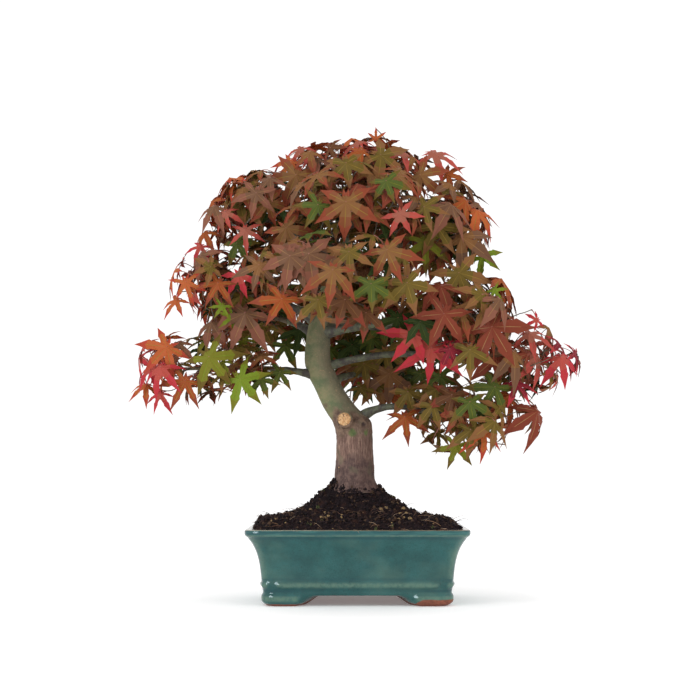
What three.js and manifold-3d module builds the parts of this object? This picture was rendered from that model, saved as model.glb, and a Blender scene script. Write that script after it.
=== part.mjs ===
// A Japanese maple grown as a bonsai, in a glazed rectangular pot.
// Millimetres, +Z up. The origin is on the ground, under the middle of the plant's outline.
// -Y is the front of the plant.

import * as THREE from 'three';
import { LoftGeometry } from 'three/addons/geometries/LoftGeometry.js';
import { mergeVertices } from 'three/addons/utils/BufferGeometryUtils.js';
import Module from 'manifold-3d';

const wasm = await Module();
wasm.setup();

// ---------------------------------------------------------------- driving dimensions

const GAP = 0.3;                  // clearance between two solids that meet
const CUT_PAST = 1;               // a cutting solid runs this far past what it cuts

// Pot: half lengths are along X; the pot is this much narrower along Y.
const POT_HEIGHT = 85;
const POT_HALF_LENGTH = 125;
const POT_SIDE_INSET = 30;        // half length less half width
const POT_CORNER_RADIUS = 17;
const POT_FLOOR_UNDER = 11.7;
const POT_FLOOR_TOP = 18.7;
const LIP_HEIGHT = 7;
const WAIST_HALF_LENGTH = 104.6;
const CORNER_TIGHTENING = 0.2;    // a corner's radius shrinks by this share of the inset
const BELT_HEIGHT = 24;
const BELT_BULGE = 1.9;
const RIM_WALL = 7.5;
const WAIST_WALL = 8;

// Pot feet: one bracket under each corner.
const FOOT_TOP = 17.8;
const FOOT_HALF_LENGTH = 106.4;
const FOOT_SOLE_HALF_LENGTH = 102;
const FOOT_WIDTH = 17;
const FOOT_INNER_END = 66;        // sole's inner end along X, from the pot's middle
const FOOT_TAPER = 16;            // the inner end rises over this length

// Outlines of the wall, outside and inside, from the floor to the rim: height, half length.
const POT_OUTSIDE = [
  [POT_FLOOR_UNDER, WAIST_HALF_LENGTH - 1.5],
  [FOOT_TOP, WAIST_HALF_LENGTH - 0.5],
  [BELT_HEIGHT - 3, WAIST_HALF_LENGTH + BELT_BULGE - 0.5],
  [BELT_HEIGHT, WAIST_HALF_LENGTH + BELT_BULGE],
  [BELT_HEIGHT + 3, WAIST_HALF_LENGTH + BELT_BULGE - 0.6],
  [BELT_HEIGHT + 6, WAIST_HALF_LENGTH],
  [37, 105.5],
  [46, 106.8],
  [53.5, 108.7],
  [60.7, 111.4],
  [68, 115.1],
  [POT_HEIGHT - LIP_HEIGHT - 2.4, 121],
  [POT_HEIGHT - LIP_HEIGHT, POT_HALF_LENGTH - 0.6],
  [POT_HEIGHT - LIP_HEIGHT + 1.5, POT_HALF_LENGTH],
  [POT_HEIGHT - 1.2, POT_HALF_LENGTH],
  [POT_HEIGHT, POT_HALF_LENGTH - 1.4],
];
const POT_INSIDE = [
  [POT_FLOOR_TOP, WAIST_HALF_LENGTH - WAIST_WALL - 2],
  [POT_FLOOR_TOP + 6, WAIST_HALF_LENGTH - WAIST_WALL],
  [46, 106.8 - WAIST_WALL],
  [60.7, 111.4 - WAIST_WALL],
  [POT_HEIGHT - LIP_HEIGHT, POT_HALF_LENGTH - RIM_WALL - 2],
  [POT_HEIGHT, POT_HALF_LENGTH - RIM_WALL],
];

// Soil: a mound that climbs from the rim to the foot of the trunk.
const SOIL_EDGE_HEIGHT = 83.5;
const SOIL_PEAK_HEIGHT = 129;
const SOIL_FOOT_RADIUS = 26;
const SOIL_ROUGHNESS = 1.4;
const SOIL_SEED = 71;

// Share of the way from the pot's wall to the trunk, and share of the climb.
const SOIL_SLOPE = [
  [0, 0], [0.1, 0.14], [0.25, 0.25], [0.5, 0.39], [0.74, 0.6], [0.88, 0.79], [1, 1],
];

// Trunk.
const GROUND_CUT = 124;           // the trunk's flat cut, at soil level
const TRUNK_SIDES = 14;
const ROOT_LOBES = 5;
const ROOT_LOBE_DEPTH = 0.09;
const ROOT_FLARE_HEIGHT = 16;
const STUB_HEIGHT = 208;          // healed cut of a removed branch, at the front
const STUB_RADIUS = 8;
const STUB_OFFSET = -8;           // from the trunk's middle, along X
const STUB_REACH = 3.5;
const STUB_COLLAR = 1.5;          // the stub is this much wider at its root
const STUB_SIDES = 12;

// Height, middle along X, middle along Y, width along X.
const TRUNK_STATIONS = [
  [GROUND_CUT, -1, 0, 59],
  [130, -2, 0, 53.5],
  [138, -3, 0, 48],
  [150, -3, 0, 45.6],
  [170, -3, 0, 43.6],
  [184, -2.9, 0, 43],
  [196, -3.4, 0, 43.6],
  [206, -5.9, 0, 46],
  [214, -12.8, 0, 43.5],
  [222, -19.5, 0, 39.2],
  [232, -26, 0, 35.4],
  [246, -33.5, 1, 33.3],
  [260, -40.8, 2, 32.3],
  [274, -45.3, 3, 31.1],
  [290, -46.2, 4, 29.2],
  [306, -45.6, 5, 27.6],
  [326, -43, 5, 24.5],
  [350, -37, 3, 21],
  [376, -28, 0, 18],
  [402, -18, -2, 14.6],
  [428, -8, -2, 11.2],
  [452, 2, 0, 8],
];
const [TRUNK_TIP, , , TRUNK_TIP_WIDTH] = TRUNK_STATIONS.at(-1);

// Leaf: a star of five lobes.
const LEAF_LOBE = 52;             // length of the middle lobe
const LEAF_SPREAD = 0.16;         // leaves differ in size by this share, either way
const LEAF_HALF_THICKNESS = 1;
const LEAF_DROOP = 0.16;          // fall of a lobe's tip, as a share of its length
const LEAF_TURN = 0.5;            // how far a leaf may move round its mass to find room
const LEAF_SINK = 0.4;            // how far in it may move, as a share of the mass's radii
const LEAF_TRIES = 140;
const LEAF_DEPTH = 0.86;          // where leaves stand, as a share of the mass's radii
const PETIOLE_RADIUS = 1;
const PETIOLE_LONGEST = 62;
const PETIOLE_SHORTEST = 9;
const PETIOLE_FOOT_SHARE = 0.45;  // a petiole narrows to this share where it meets its twig
const STALK_UNDER = 0.15;         // a petiole leads away from under its leaf at least this steeply
const STALK_CLEAR = 0.4;          // at this slope it may lead away on any side
const STALK_BEHIND = 0.7;         // and otherwise only this nearly opposite the middle lobe
const FACE_OUT_OF_MASS = 0.6;     // weights of a leaf's facing, against facing out of the crown
const FACE_UP = 0.6;
const FACE_JITTER = 0.35;
const LOBE_FALL = 0.8;            // weight of hanging down in the middle lobe's heading
const LOBE_JITTER = 0.45;

// Lobes of a leaf, from the middle one round: degrees off the middle and share of its length.
const LOBES = [[0, 1], [48, 0.95], [100, 0.7], [-100, 0.7], [-48, 0.95]];
const SINUS = 0.3;
const BASE_SINUS = 0.16;

// Growth of a mass of foliage.
const STEM_REACH = 1.3;           // how far a stem runs, as a share of the way to the middle
const STEM_BEND = 0.6;            // and how far it keeps its bough's heading
const STEM_SIDES = 5;
const STEM_STEPS = 3;
const TWIG_SIDES = 3;
const TWIG_BASE_RADIUS = 2.2;
const TWIG_TIP_RADIUS = 1.6;
const TWIG_DEPTH = 0.55;          // how far out twigs end, as a share of the mass's radii
const TWIG_KEEPS_OUT = 0.7;       // of a neighbour's space, nearer its middle than this
const TWIG_BUDS = [0.3, 0.46, 0.62, 0.78, 0.94];
const TWIG_JITTER = 5;
const TWIG_OVER_BUD = 0.9;        // a twig is at most this share of what it grows from
const TWIG_TRIES = 9;
const BUD_CHOICES = 3;            // a piece that finds no room tries this many nearest buds
const TWIG_SHORTEST = 12;
const SHOOTS_PER_LEAF = 0.24;
const WAY_BACK = 0.3;             // weight of the way back to the stem in choosing a bud
const SPACE_REACH = 1.14;         // leaf tips may stand this far out, as a share of the radii
const SPACE_SLACK = 0.45;         // how far past the border with a neighbour a leaf may lie
const DIRECTION_JITTER = 0.15;
const LOWEST_LEAF = 151;
const FIRST_SEED = 101;
const SEED_STEP = 7;

// Each mass: its middle and radii, the most leaves it may bear, and its bough, which leaves the
// trunk at height `from`, heads for `by` and ends at `to`, where the mass's own stem goes on.
const MASSES = [
  { name: 'crown_top', at: [-2, 0, 491], radii: [98, 90, 50], leaves: 34 },
  { name: 'left_upper', at: [-108, -15, 448], radii: [82, 85, 62], leaves: 29,
    from: 398, by: [-38, -2, 418], to: [-60, -6, 422], radius: 5 },
  { name: 'right_upper', at: [98, 0, 432], radii: [70, 85, 66], leaves: 29,
    from: 388, by: [10, 0, 404], to: [44, 0, 412], radius: 5.2 },
  { name: 'front_upper', at: [0, -98, 440], radii: [92, 62, 56], leaves: 26,
    from: 416, by: [-10, -24, 428], to: [-8, -46, 430], radius: 4.4 },
  { name: 'rear_upper', at: [0, 100, 420], radii: [88, 62, 62], leaves: 26,
    from: 408, by: [-14, 20, 414], to: [-10, 44, 414], radius: 4.6 },
  { name: 'front_middle', at: [-25, -122, 360], radii: [100, 68, 56], leaves: 26,
    from: 336, by: [-38, -30, 350], to: [-30, -66, 352], radius: 5.8 },
  { name: 'left_middle', at: [-144, -30, 360], radii: [76, 80, 52], leaves: 29,
    from: 320, by: [-66, -4, 338], to: [-92, -14, 344], radius: 6 },
  { name: 'rear_middle', at: [0, 124, 345], radii: [100, 68, 58], leaves: 26,
    from: 350, by: [-26, 30, 352], to: [-14, 66, 348], radius: 5.6 },
  { name: 'rear_left', at: [-125, 108, 342], radii: [85, 68, 52], leaves: 26,
    from: 304, by: [-62, 32, 320], to: [-82, 60, 328], radius: 6 },
  { name: 'rear_right', at: [118, 108, 320], radii: [82, 68, 56], leaves: 26,
    from: 326, by: [0, 36, 322], to: [52, 66, 318], radius: 6 },
  { name: 'front_right', at: [118, -75, 322], radii: [80, 70, 54], leaves: 29,
    from: 308, by: [6, -22, 318], to: [56, -42, 320], radius: 6 },
  { name: 'far_right', at: [192, -8, 274], radii: [72, 76, 48], leaves: 26,
    from: 266, by: [24, 6, 296], to: [134, -4, 278], radius: 4.6 },
  { name: 'rear_low', at: [25, 112, 266], radii: [86, 66, 50], leaves: 23,
    from: 246, by: [-20, 32, 262], to: [2, 62, 264], radius: 5.2 },
  { name: 'low_right', at: [130, -12, 212], radii: [92, 78, 54], leaves: 26,
    from: 202, by: [20, 0, 230], to: [62, -6, 221], radius: 5.2 },
  { name: 'low_left', at: [-176, -20, 266], radii: [98, 76, 48], leaves: 29,
    from: 258, by: [-72, -1, 266], to: [-96, -6, 267], radius: 4.8 },
];
const BOUGH_TIP_SHARE = 0.62;     // a bough's tip radius over its base radius
const BOUGH_SIDES = 6;
const BOUGH_STEPS = 3;

// ---------------------------------------------------------------- helpers

const v3 = (x, y, z) => new THREE.Vector3(x, y, z);
const UP = v3(0, 0, 1);
const CROWN_MIDDLE = v3(0, 0, 300);

// A seeded stream of numbers from 0 to 1.
function seeded(seed) {
  let state = seed >>> 0;
  return () => {
    state = (state + 0x6d2b79f5) >>> 0;
    let t = Math.imul(state ^ (state >>> 15), state | 1);
    t ^= t + Math.imul(t ^ (t >>> 7), t | 61);
    return ((t ^ (t >>> 14)) >>> 0) / 4294967296;
  };
}

// Value at x of the polyline through rows of [x, value, ...]; column says which value.
function along(rows, x, column = 1) {
  let i = 1;
  while (i < rows.length - 1 && rows[i][0] < x) i += 1;
  const [a, b] = [rows[i - 1], rows[i]];
  const t = THREE.MathUtils.clamp((x - a[0]) / (b[0] - a[0]), 0, 1);
  return a[column] + (b[column] - a[column]) * t;
}

// A closed geometry as a solid that can be joined and cut.
function toSolid(geometry) {
  const bare = new THREE.BufferGeometry();
  bare.setAttribute('position', geometry.getAttribute('position').clone());
  if (geometry.index) bare.setIndex(geometry.index.clone());
  const merged = mergeVertices(bare, 1e-4);
  return new wasm.Manifold(new wasm.Mesh({
    numProp: 3,
    vertProperties: Float32Array.from(merged.getAttribute('position').array),
    triVerts: Uint32Array.from(merged.index.array),
  }));
}

// A solid back as a geometry with flat faces.
function toGeometry(solid) {
  const mesh = solid.getMesh();
  const geometry = new THREE.BufferGeometry();
  geometry.setAttribute('position', new THREE.Float32BufferAttribute(mesh.vertProperties, 3));
  geometry.setIndex(Array.from(mesh.triVerts));
  const flat = geometry.toNonIndexed();
  flat.computeVertexNormals();
  return flat;
}

// The largest closed body of a union: loose scraps and sealed hollows are dropped.
function mainBody(solids) {
  const bodies = wasm.Manifold.union(solids).simplify(0.05).decompose();
  return bodies.reduce((best, body) => (body.volume() > best.volume() ? body : best));
}

function loft(sections) {
  return toSolid(new LoftGeometry(sections, { capStart: true, capEnd: true }));
}

// Ring of a rectangle with round corners, anticlockwise from above.
function roundedRing(halfX, halfY, radius, z, steps = 3) {
  const ring = [];
  for (let corner = 0; corner < 4; corner += 1) {
    const cx = (corner === 0 || corner === 3 ? 1 : -1) * (halfX - radius);
    const cy = (corner < 2 ? 1 : -1) * (halfY - radius);
    for (let i = 0; i <= steps; i += 1) {
      const angle = (corner + i / steps) * Math.PI / 2;
      ring.push(v3(cx + radius * Math.cos(angle), cy + radius * Math.sin(angle), z));
    }
  }
  return ring;
}

// A tapering limb along a curve, with a round section.
function limb(curve, baseRadius, tipRadius, sides, steps) {
  const frames = curve.computeFrenetFrames(steps, false);
  const sections = [];
  for (let i = 0; i <= steps; i += 1) {
    const t = i / steps;
    const centre = curve.getPointAt(t);
    const radius = baseRadius + (tipRadius - baseRadius) * t;
    const section = [];
    for (let j = 0; j < sides; j += 1) {
      const angle = j / sides * 2 * Math.PI;
      section.push(centre.clone()
        .addScaledVector(frames.normals[i], radius * Math.cos(angle))
        .addScaledVector(frames.binormals[i], radius * Math.sin(angle)));
    }
    sections.push(section);
  }
  return loft(sections);
}

// ---------------------------------------------------------------- pot

// Rings of the pot's plan at each height of a profile, moved in by inset.
function potRings(profile, inset = 0) {
  return profile.map(([z, half]) => roundedRing(
    half - inset,
    half - inset - POT_SIDE_INSET,
    POT_CORNER_RADIUS - (POT_HALF_LENGTH - half) * CORNER_TIGHTENING - inset,
    z,
  ));
}

// A bar with a trapezoid section, narrow side up, that cuts the gap between two feet.
function footGap(halfLength, alongX) {
  const reach = 2 * POT_HALF_LENGTH;
  const section = (side) => [
    [-halfLength, -CUT_PAST], [halfLength, -CUT_PAST],
    [halfLength - FOOT_TAPER, POT_FLOOR_UNDER], [-halfLength + FOOT_TAPER, POT_FLOOR_UNDER],
  ].map(([across, z]) => (alongX ? v3(side * reach, across, z) : v3(across, -side * reach, z)));
  return loft([section(-1), section(1)]);
}

function makePot() {
  const wall = loft(potRings(POT_OUTSIDE));
  const bowl = loft(potRings([...POT_INSIDE, [POT_HEIGHT + CUT_PAST, POT_HALF_LENGTH - RIM_WALL]]));
  const base = loft(potRings([
    [0, FOOT_SOLE_HALF_LENGTH],
    [1, FOOT_SOLE_HALF_LENGTH + 2.2],
    [3.2, FOOT_HALF_LENGTH - 0.5],
    [7.8, FOOT_HALF_LENGTH],
    [13.2, FOOT_HALF_LENGTH - 0.9],
    [FOOT_TOP, WAIST_HALF_LENGTH - 0.5],
  ]));
  const inner = FOOT_SOLE_HALF_LENGTH - FOOT_WIDTH;
  const hollow = loft(potRings([[-CUT_PAST, inner], [POT_FLOOR_UNDER, inner]]));
  const feet = base.subtract(hollow)
    .subtract(footGap(FOOT_INNER_END, false))
    .subtract(footGap(FOOT_INNER_END - POT_SIDE_INSET, true));
  return mainBody([wall.subtract(bowl), feet]);
}

// ---------------------------------------------------------------- trunk

const trunkAt = (z) => v3(along(TRUNK_STATIONS, z, 1), along(TRUNK_STATIONS, z, 2), z);

// The trunk, larger all round by grow and from floor upwards.
function trunkSolid(grow, floor) {
  const sections = TRUNK_STATIONS.map(([z, x, y, width], i) => {
    const [above] = TRUNK_STATIONS.slice(i + 1, i + 2);
    const [below] = TRUNK_STATIONS.slice(Math.max(i - 1, 0), i || 1);
    const top = above ?? TRUNK_STATIONS[i];
    const slope = (top[1] - below[1]) / Math.max(top[0] - below[0], 1);
    const halfX = width / 2 + grow * Math.hypot(1, slope);
    const halfY = width / 2 / Math.hypot(1, slope) + grow;
    const flare = Math.max(0, 1 - (z - GROUND_CUT) / ROOT_FLARE_HEIGHT);
    const height = i === 0 ? floor : z;
    const section = [];
    for (let j = 0; j < TRUNK_SIDES; j += 1) {
      const angle = j / TRUNK_SIDES * 2 * Math.PI;
      const lobe = 1 + flare * ROOT_LOBE_DEPTH * Math.cos(ROOT_LOBES * angle);
      section.push(v3(x + halfX * lobe * Math.cos(angle), y + halfY * lobe * Math.sin(angle), height));
    }
    return section;
  });
  return loft(sections);
}

function makeTrunk() {
  const middle = trunkAt(STUB_HEIGHT);
  const face = middle.y - along(TRUNK_STATIONS, STUB_HEIGHT, 3) / 2 - STUB_REACH;
  const root = v3(middle.x + STUB_OFFSET, middle.y, STUB_HEIGHT);
  const end = v3(middle.x + STUB_OFFSET, face, STUB_HEIGHT + 1);
  const stub = limb(new THREE.LineCurve3(root, end), STUB_RADIUS + STUB_COLLAR, STUB_RADIUS, STUB_SIDES, 1);
  return mainBody([trunkSolid(0, GROUND_CUT), stub]);
}

// ---------------------------------------------------------------- soil

function makeSoil(trunkSpace) {
  const random = seeded(SOIL_SEED);
  const inside = potRings(POT_INSIDE, GAP);
  inside[0].forEach((point) => { point.z += GAP; });
  const rings = inside.slice(0, -1);
  const [edge] = potRings([[SOIL_EDGE_HEIGHT, along(POT_INSIDE, SOIL_EDGE_HEIGHT)]], GAP);
  const foot = trunkAt(GROUND_CUT);
  for (const [share, climb] of SOIL_SLOPE) {
    rings.push(edge.map((point) => {
      const outward = v3(point.x - foot.x, point.y - foot.y, 0);
      const reach = outward.length();
      const radius = reach + (SOIL_FOOT_RADIUS - reach) * share;
      const rough = share > 0 && share < 1 ? SOIL_ROUGHNESS * (2 * random() - 1) : 0;
      const z = SOIL_EDGE_HEIGHT + (SOIL_PEAK_HEIGHT - SOIL_EDGE_HEIGHT) * climb + rough;
      return v3(foot.x, foot.y, z).addScaledVector(outward.normalize(), radius);
    }));
  }
  return mainBody([loft(rings).subtract(trunkSpace)]);
}

// ---------------------------------------------------------------- masses and boughs

function boughCurve(mass) {
  return new THREE.QuadraticBezierCurve3(trunkAt(mass.from), v3(...mass.by), v3(...mass.to));
}

// How far out of a mass's middle a point lies: 1 on the mass's own surface.
function depthIn(mass, point) {
  const [x, y, z] = mass.at;
  const [rx, ry, rz] = mass.radii;
  return Math.hypot((point.x - x) / rx, (point.y - y) / ry, (point.z - z) / rz);
}

// The place in a mass that lies this deep in this direction.
function placeIn(mass, direction, depth) {
  return v3(...mass.radii).multiply(direction).multiplyScalar(depth).add(v3(...mass.at));
}

// Even directions over a sphere, each one turned a little.
function evenDirections(count, random) {
  const golden = Math.PI * (3 - Math.sqrt(5));
  const turn = random() * 2 * Math.PI;
  const directions = [];
  for (let i = 0; i < count; i += 1) {
    const z = 1 - 2 * (i + 0.5) / count;
    const ring = Math.sqrt(1 - z * z);
    const angle = turn + golden * i;
    directions.push(v3(ring * Math.cos(angle), ring * Math.sin(angle), z)
      .add(jitter(random, DIRECTION_JITTER)).normalize());
  }
  return directions;
}

function jitter(random, amount) {
  return v3(random() - 0.5, random() - 0.5, random() - 0.5).multiplyScalar(2 * amount);
}

// Everything placed so far, with its box, for clearance tests.
const placed = [];

function boxOf(solid) {
  const { min, max } = solid.boundingBox();
  return new THREE.Box3(v3(...min), v3(...max)).expandByScalar(GAP);
}

function keep(solid, piece) {
  placed.push({ solid, piece, box: boxOf(solid) });
}

// Whether a solid clears all that is placed, but for the piece that it grows from.
function isClear(solid, carrier) {
  const box = boxOf(solid);
  return placed.every((other) => other.piece === carrier
    || !other.box.intersectsBox(box)
    || other.solid.minGap(solid, 2 * GAP) > 1.5 * GAP);
}

// ---------------------------------------------------------------- twigs

// A twig along a curve, with the places on it where others may grow.
function makeTwig(curve, baseRadius, tipRadius, sides, steps, length) {
  const solid = limb(curve, baseRadius, tipRadius, sides, steps);
  const run = curve.getLength();
  const buds = TWIG_BUDS.map((t) => ({
    place: curve.getPointAt(t),
    length: length + run * t,
    radius: baseRadius + (tipRadius - baseRadius) * t,
    taken: false,
  }));
  const twig = { solid, buds };
  buds.forEach((bud) => { bud.twig = twig; });
  return twig;
}

// The nearest free bud to a place, with a long way back to the stem counting against it.
function nearestBud(twigs, place, skipped = 0) {
  const free = twigs.flatMap((twig) => twig.buds).filter((bud) => !bud.taken);
  const cost = (bud) => bud.place.distanceTo(place) + WAY_BACK * bud.length;
  return free.sort((a, b) => cost(a) - cost(b))[Math.min(skipped, free.length - 1)];
}

// The stem of a mass and the twigs that branch from it.
function growTwigs(mass) {
  const random = seeded(mass.seed);
  const middle = v3(...mass.at);
  const end = mass.stem.clone().lerp(middle, STEM_REACH);
  const bend = mass.stem.clone().addScaledVector(mass.heading, STEM_BEND * mass.stem.distanceTo(middle));
  const path = new THREE.QuadraticBezierCurve3(mass.stem, bend, end);
  const stem = makeTwig(path, mass.stemRadius, TWIG_BASE_RADIUS, STEM_SIDES, STEM_STEPS, 0);
  const twigs = [stem];
  keep(stem.solid, stem);
  const tips = evenDirections(mass.shoots, random)
    .map((direction) => placeIn(mass, direction, TWIG_DEPTH))
    .filter((tip) => MASSES.every((other) => other === mass || depthIn(other, tip) > TWIG_KEEPS_OUT))
    .sort((a, b) => a.distanceTo(middle) - b.distanceTo(middle));
  for (const tip of tips) {
    for (let attempt = 0; attempt < TWIG_TRIES; attempt += 1) {
      const bud = nearestBud(twigs, tip, attempt % BUD_CHOICES);
      if (bud.place.distanceTo(tip) < TWIG_SHORTEST) continue;
      const path = new THREE.LineCurve3(bud.place, tip.clone().add(jitter(random, TWIG_JITTER)));
      const base = Math.min(TWIG_BASE_RADIUS, bud.radius * TWIG_OVER_BUD);
      const twig = makeTwig(path, base, TWIG_TIP_RADIUS, TWIG_SIDES, 1, bud.length);
      if (!isClear(twig.solid, bud.twig)) continue;
      bud.taken = true;
      keep(twig.solid, twig);
      twigs.push(twig);
      break;
    }
  }
  return twigs;
}

// ---------------------------------------------------------------- leaves

// A leaf with its base at `base`, facing `normal`, with its middle lobe along `axis`, on a
// three-sided petiole that comes from `root`.
function makeLeaf(root, base, axis, normal, lobe) {
  const side = normal.clone().cross(axis).normalize();
  const at = (degrees, length, rise) => {
    const angle = THREE.MathUtils.degToRad(degrees);
    return base.clone()
      .addScaledVector(axis, Math.cos(angle) * length)
      .addScaledVector(side, Math.sin(angle) * length)
      .addScaledVector(normal, rise);
  };
  const rim = [];
  LOBES.forEach(([degrees, share], i) => {
    const [nextDegrees] = LOBES[(i + 1) % LOBES.length];
    const atBase = i === 2;
    rim.push(at(degrees, share * lobe, -LEAF_DROOP * share * lobe));
    rim.push(at(atBase ? 180 : (degrees + nextDegrees) / 2, (atBase ? BASE_SINUS : SINUS) * lobe, 0));
  });
  const collar = [60, 180, -60].map((degrees) => at(degrees, PETIOLE_RADIUS, -LEAF_HALF_THICKNESS));
  const foot = collar.map((point) => point.clone().sub(base)
    .addScaledVector(normal, LEAF_HALF_THICKNESS).multiplyScalar(PETIOLE_FOOT_SHARE).add(root));
  const points = [...rim, ...collar, ...foot, base.clone().addScaledVector(normal, LEAF_HALF_THICKNESS)];
  const [count, top] = [rim.length, points.length - 1];
  const index = [];
  for (let i = 0; i < count; i += 1) index.push(i, (i + 1) % count, top);
  // Underside: each rim edge goes to the collar's nearest corner, which changes at three rim points.
  const nearest = [0, 0, 0, 0, 1, 1, 2, 2, 2, 2];
  for (let i = 0; i < count; i += 1) {
    const next = (i + 1) % count;
    index.push(next, i, count + nearest[i]);
    if (nearest[i] !== nearest[next]) index.push(next, count + nearest[i], count + nearest[next]);
  }
  for (let i = 0; i < 3; i += 1) {
    const next = (i + 1) % 3;
    index.push(count + next, count + i, count + 3 + i);
    index.push(count + next, count + 3 + i, count + 3 + next);
  }
  index.push(count + 3, count + 5, count + 4);
  const geometry = new THREE.BufferGeometry();
  const values = points.flatMap((point) => point.toArray());
  geometry.setAttribute('position', new THREE.Float32BufferAttribute(values, 3));
  geometry.setIndex(index);
  return { solid: toSolid(geometry), tips: rim };
}

// Whether every tip of a leaf keeps to its mass's own space.
function keepsToSpace(mass, leaf) {
  return leaf.tips.every((tip) => tip.z > LOWEST_LEAF
    && depthIn(mass, tip) < SPACE_REACH
    && MASSES.every((other) => depthIn(mass, tip) < depthIn(other, tip) + SPACE_SLACK));
}

// How a leaf lies: it faces out of the crown and a little up, and its middle lobe carries on
// from the petiole and falls. Null where the petiole would run through the blade.
function leafPose(mass, base, stalk, random) {
  const outward = base.clone().sub(CROWN_MIDDLE).normalize()
    .add(base.clone().sub(v3(...mass.at)).normalize().multiplyScalar(FACE_OUT_OF_MASS));
  const normal = outward.addScaledVector(UP, FACE_UP).add(jitter(random, FACE_JITTER)).normalize();
  normal.addScaledVector(stalk, Math.max(0, STALK_UNDER - normal.dot(stalk))).normalize();
  const fall = stalk.clone().addScaledVector(UP, -LOBE_FALL).add(jitter(random, LOBE_JITTER));
  const axis = fall.addScaledVector(normal, -fall.dot(normal)).normalize();
  const runsUnder = normal.dot(stalk) > STALK_CLEAR || axis.dot(stalk) > STALK_BEHIND;
  return runsUnder ? { normal, axis } : null;
}

// Leaves over the open side of a mass, each on the nearest twig that it can reach.
function growLeaves(mass, twigs) {
  const random = seeded(mass.seed + 1);
  const leaves = [];
  for (const direction of evenDirections(mass.leaves, random)) {
    for (let attempt = 0; attempt < LEAF_TRIES; attempt += 1) {
      const share = attempt / LEAF_TRIES;
      const turned = direction.clone().add(jitter(random, LEAF_TURN * share)).normalize();
      const base = placeIn(mass, turned, LEAF_DEPTH - LEAF_SINK * random() * share);
      const bud = nearestBud(twigs, base, attempt % BUD_CHOICES);
      const stalk = base.clone().sub(bud.place);
      if (stalk.length() > PETIOLE_LONGEST || stalk.length() < PETIOLE_SHORTEST) continue;
      const pose = leafPose(mass, base, stalk.normalize(), random);
      if (!pose) continue;
      const lobe = LEAF_LOBE * (1 + LEAF_SPREAD * (2 * random() - 1));
      const leaf = makeLeaf(bud.place, base, pose.axis, pose.normal, lobe);
      if (!keepsToSpace(mass, leaf) || !isClear(leaf.solid, bud.twig)) continue;
      bud.taken = true;
      keep(leaf.solid, leaf);
      leaves.push(leaf);
      break;
    }
  }
  return leaves;
}

// ---------------------------------------------------------------- assembly

const glaze = new THREE.MeshStandardMaterial({ color: 0x3e6962, roughness: 0.18, metalness: 0 });
const earth = new THREE.MeshStandardMaterial({ color: 0x2d1e1e, roughness: 0.95, metalness: 0 });
const bark = new THREE.MeshStandardMaterial({ color: 0x5a5f4a, roughness: 0.8, metalness: 0 });
const foliage = new THREE.MeshStandardMaterial({ color: 0x8c5546, roughness: 0.6, metalness: 0 });

const plant = new THREE.Group();

function add(name, solid, material) {
  const mesh = new THREE.Mesh(toGeometry(solid), material);
  mesh.name = name;
  plant.add(mesh);
}

const trunkSpace = trunkSolid(GAP, GROUND_CUT - GAP);
const trunk = makeTrunk();
add('pot', makePot(), glaze);
add('soil', makeSoil(trunkSpace), earth);
add('trunk', trunk, bark);
keep(trunk, trunk);

MASSES.forEach((mass, i) => {
  mass.seed = FIRST_SEED + SEED_STEP * i;
  mass.shoots = Math.round(mass.leaves * SHOOTS_PER_LEAF);
  if (!mass.to) {
    mass.stem = trunkAt(TRUNK_TIP).addScaledVector(UP, GAP);
    mass.heading = UP;
    mass.stemRadius = TRUNK_TIP_WIDTH / 2;
    return;
  }
  const curve = boughCurve(mass);
  mass.heading = curve.getTangentAt(1);
  mass.stem = curve.getPointAt(1).addScaledVector(mass.heading, GAP);
  mass.stemRadius = mass.radius * BOUGH_TIP_SHARE;
  const whole = limb(curve, mass.radius, mass.stemRadius, BOUGH_SIDES, BOUGH_STEPS);
  const bough = mainBody([whole.subtract(trunkSpace)]);
  add(`bough_${mass.name}`, bough, bark);
  keep(bough, bough);
});

const twigsOf = MASSES.map(growTwigs);
MASSES.forEach((mass, i) => {
  const leaves = growLeaves(mass, twigsOf[i]);
  const pieces = [...twigsOf[i], ...leaves].map((piece) => piece.solid);
  add(`foliage_${mass.name}`, mainBody(pieces), foliage);
});

const outline = new THREE.Box3().setFromObject(plant);
const middle = outline.getCenter(new THREE.Vector3());
plant.position.set(-middle.x, -middle.y, 0);

export default plant;
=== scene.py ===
"""A Japanese maple grown as a bonsai, in a glazed rectangular pot, dressed for a studio picture."""

import math

import bmesh
import bpy
import numpy as np
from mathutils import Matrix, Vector, noise


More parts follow.
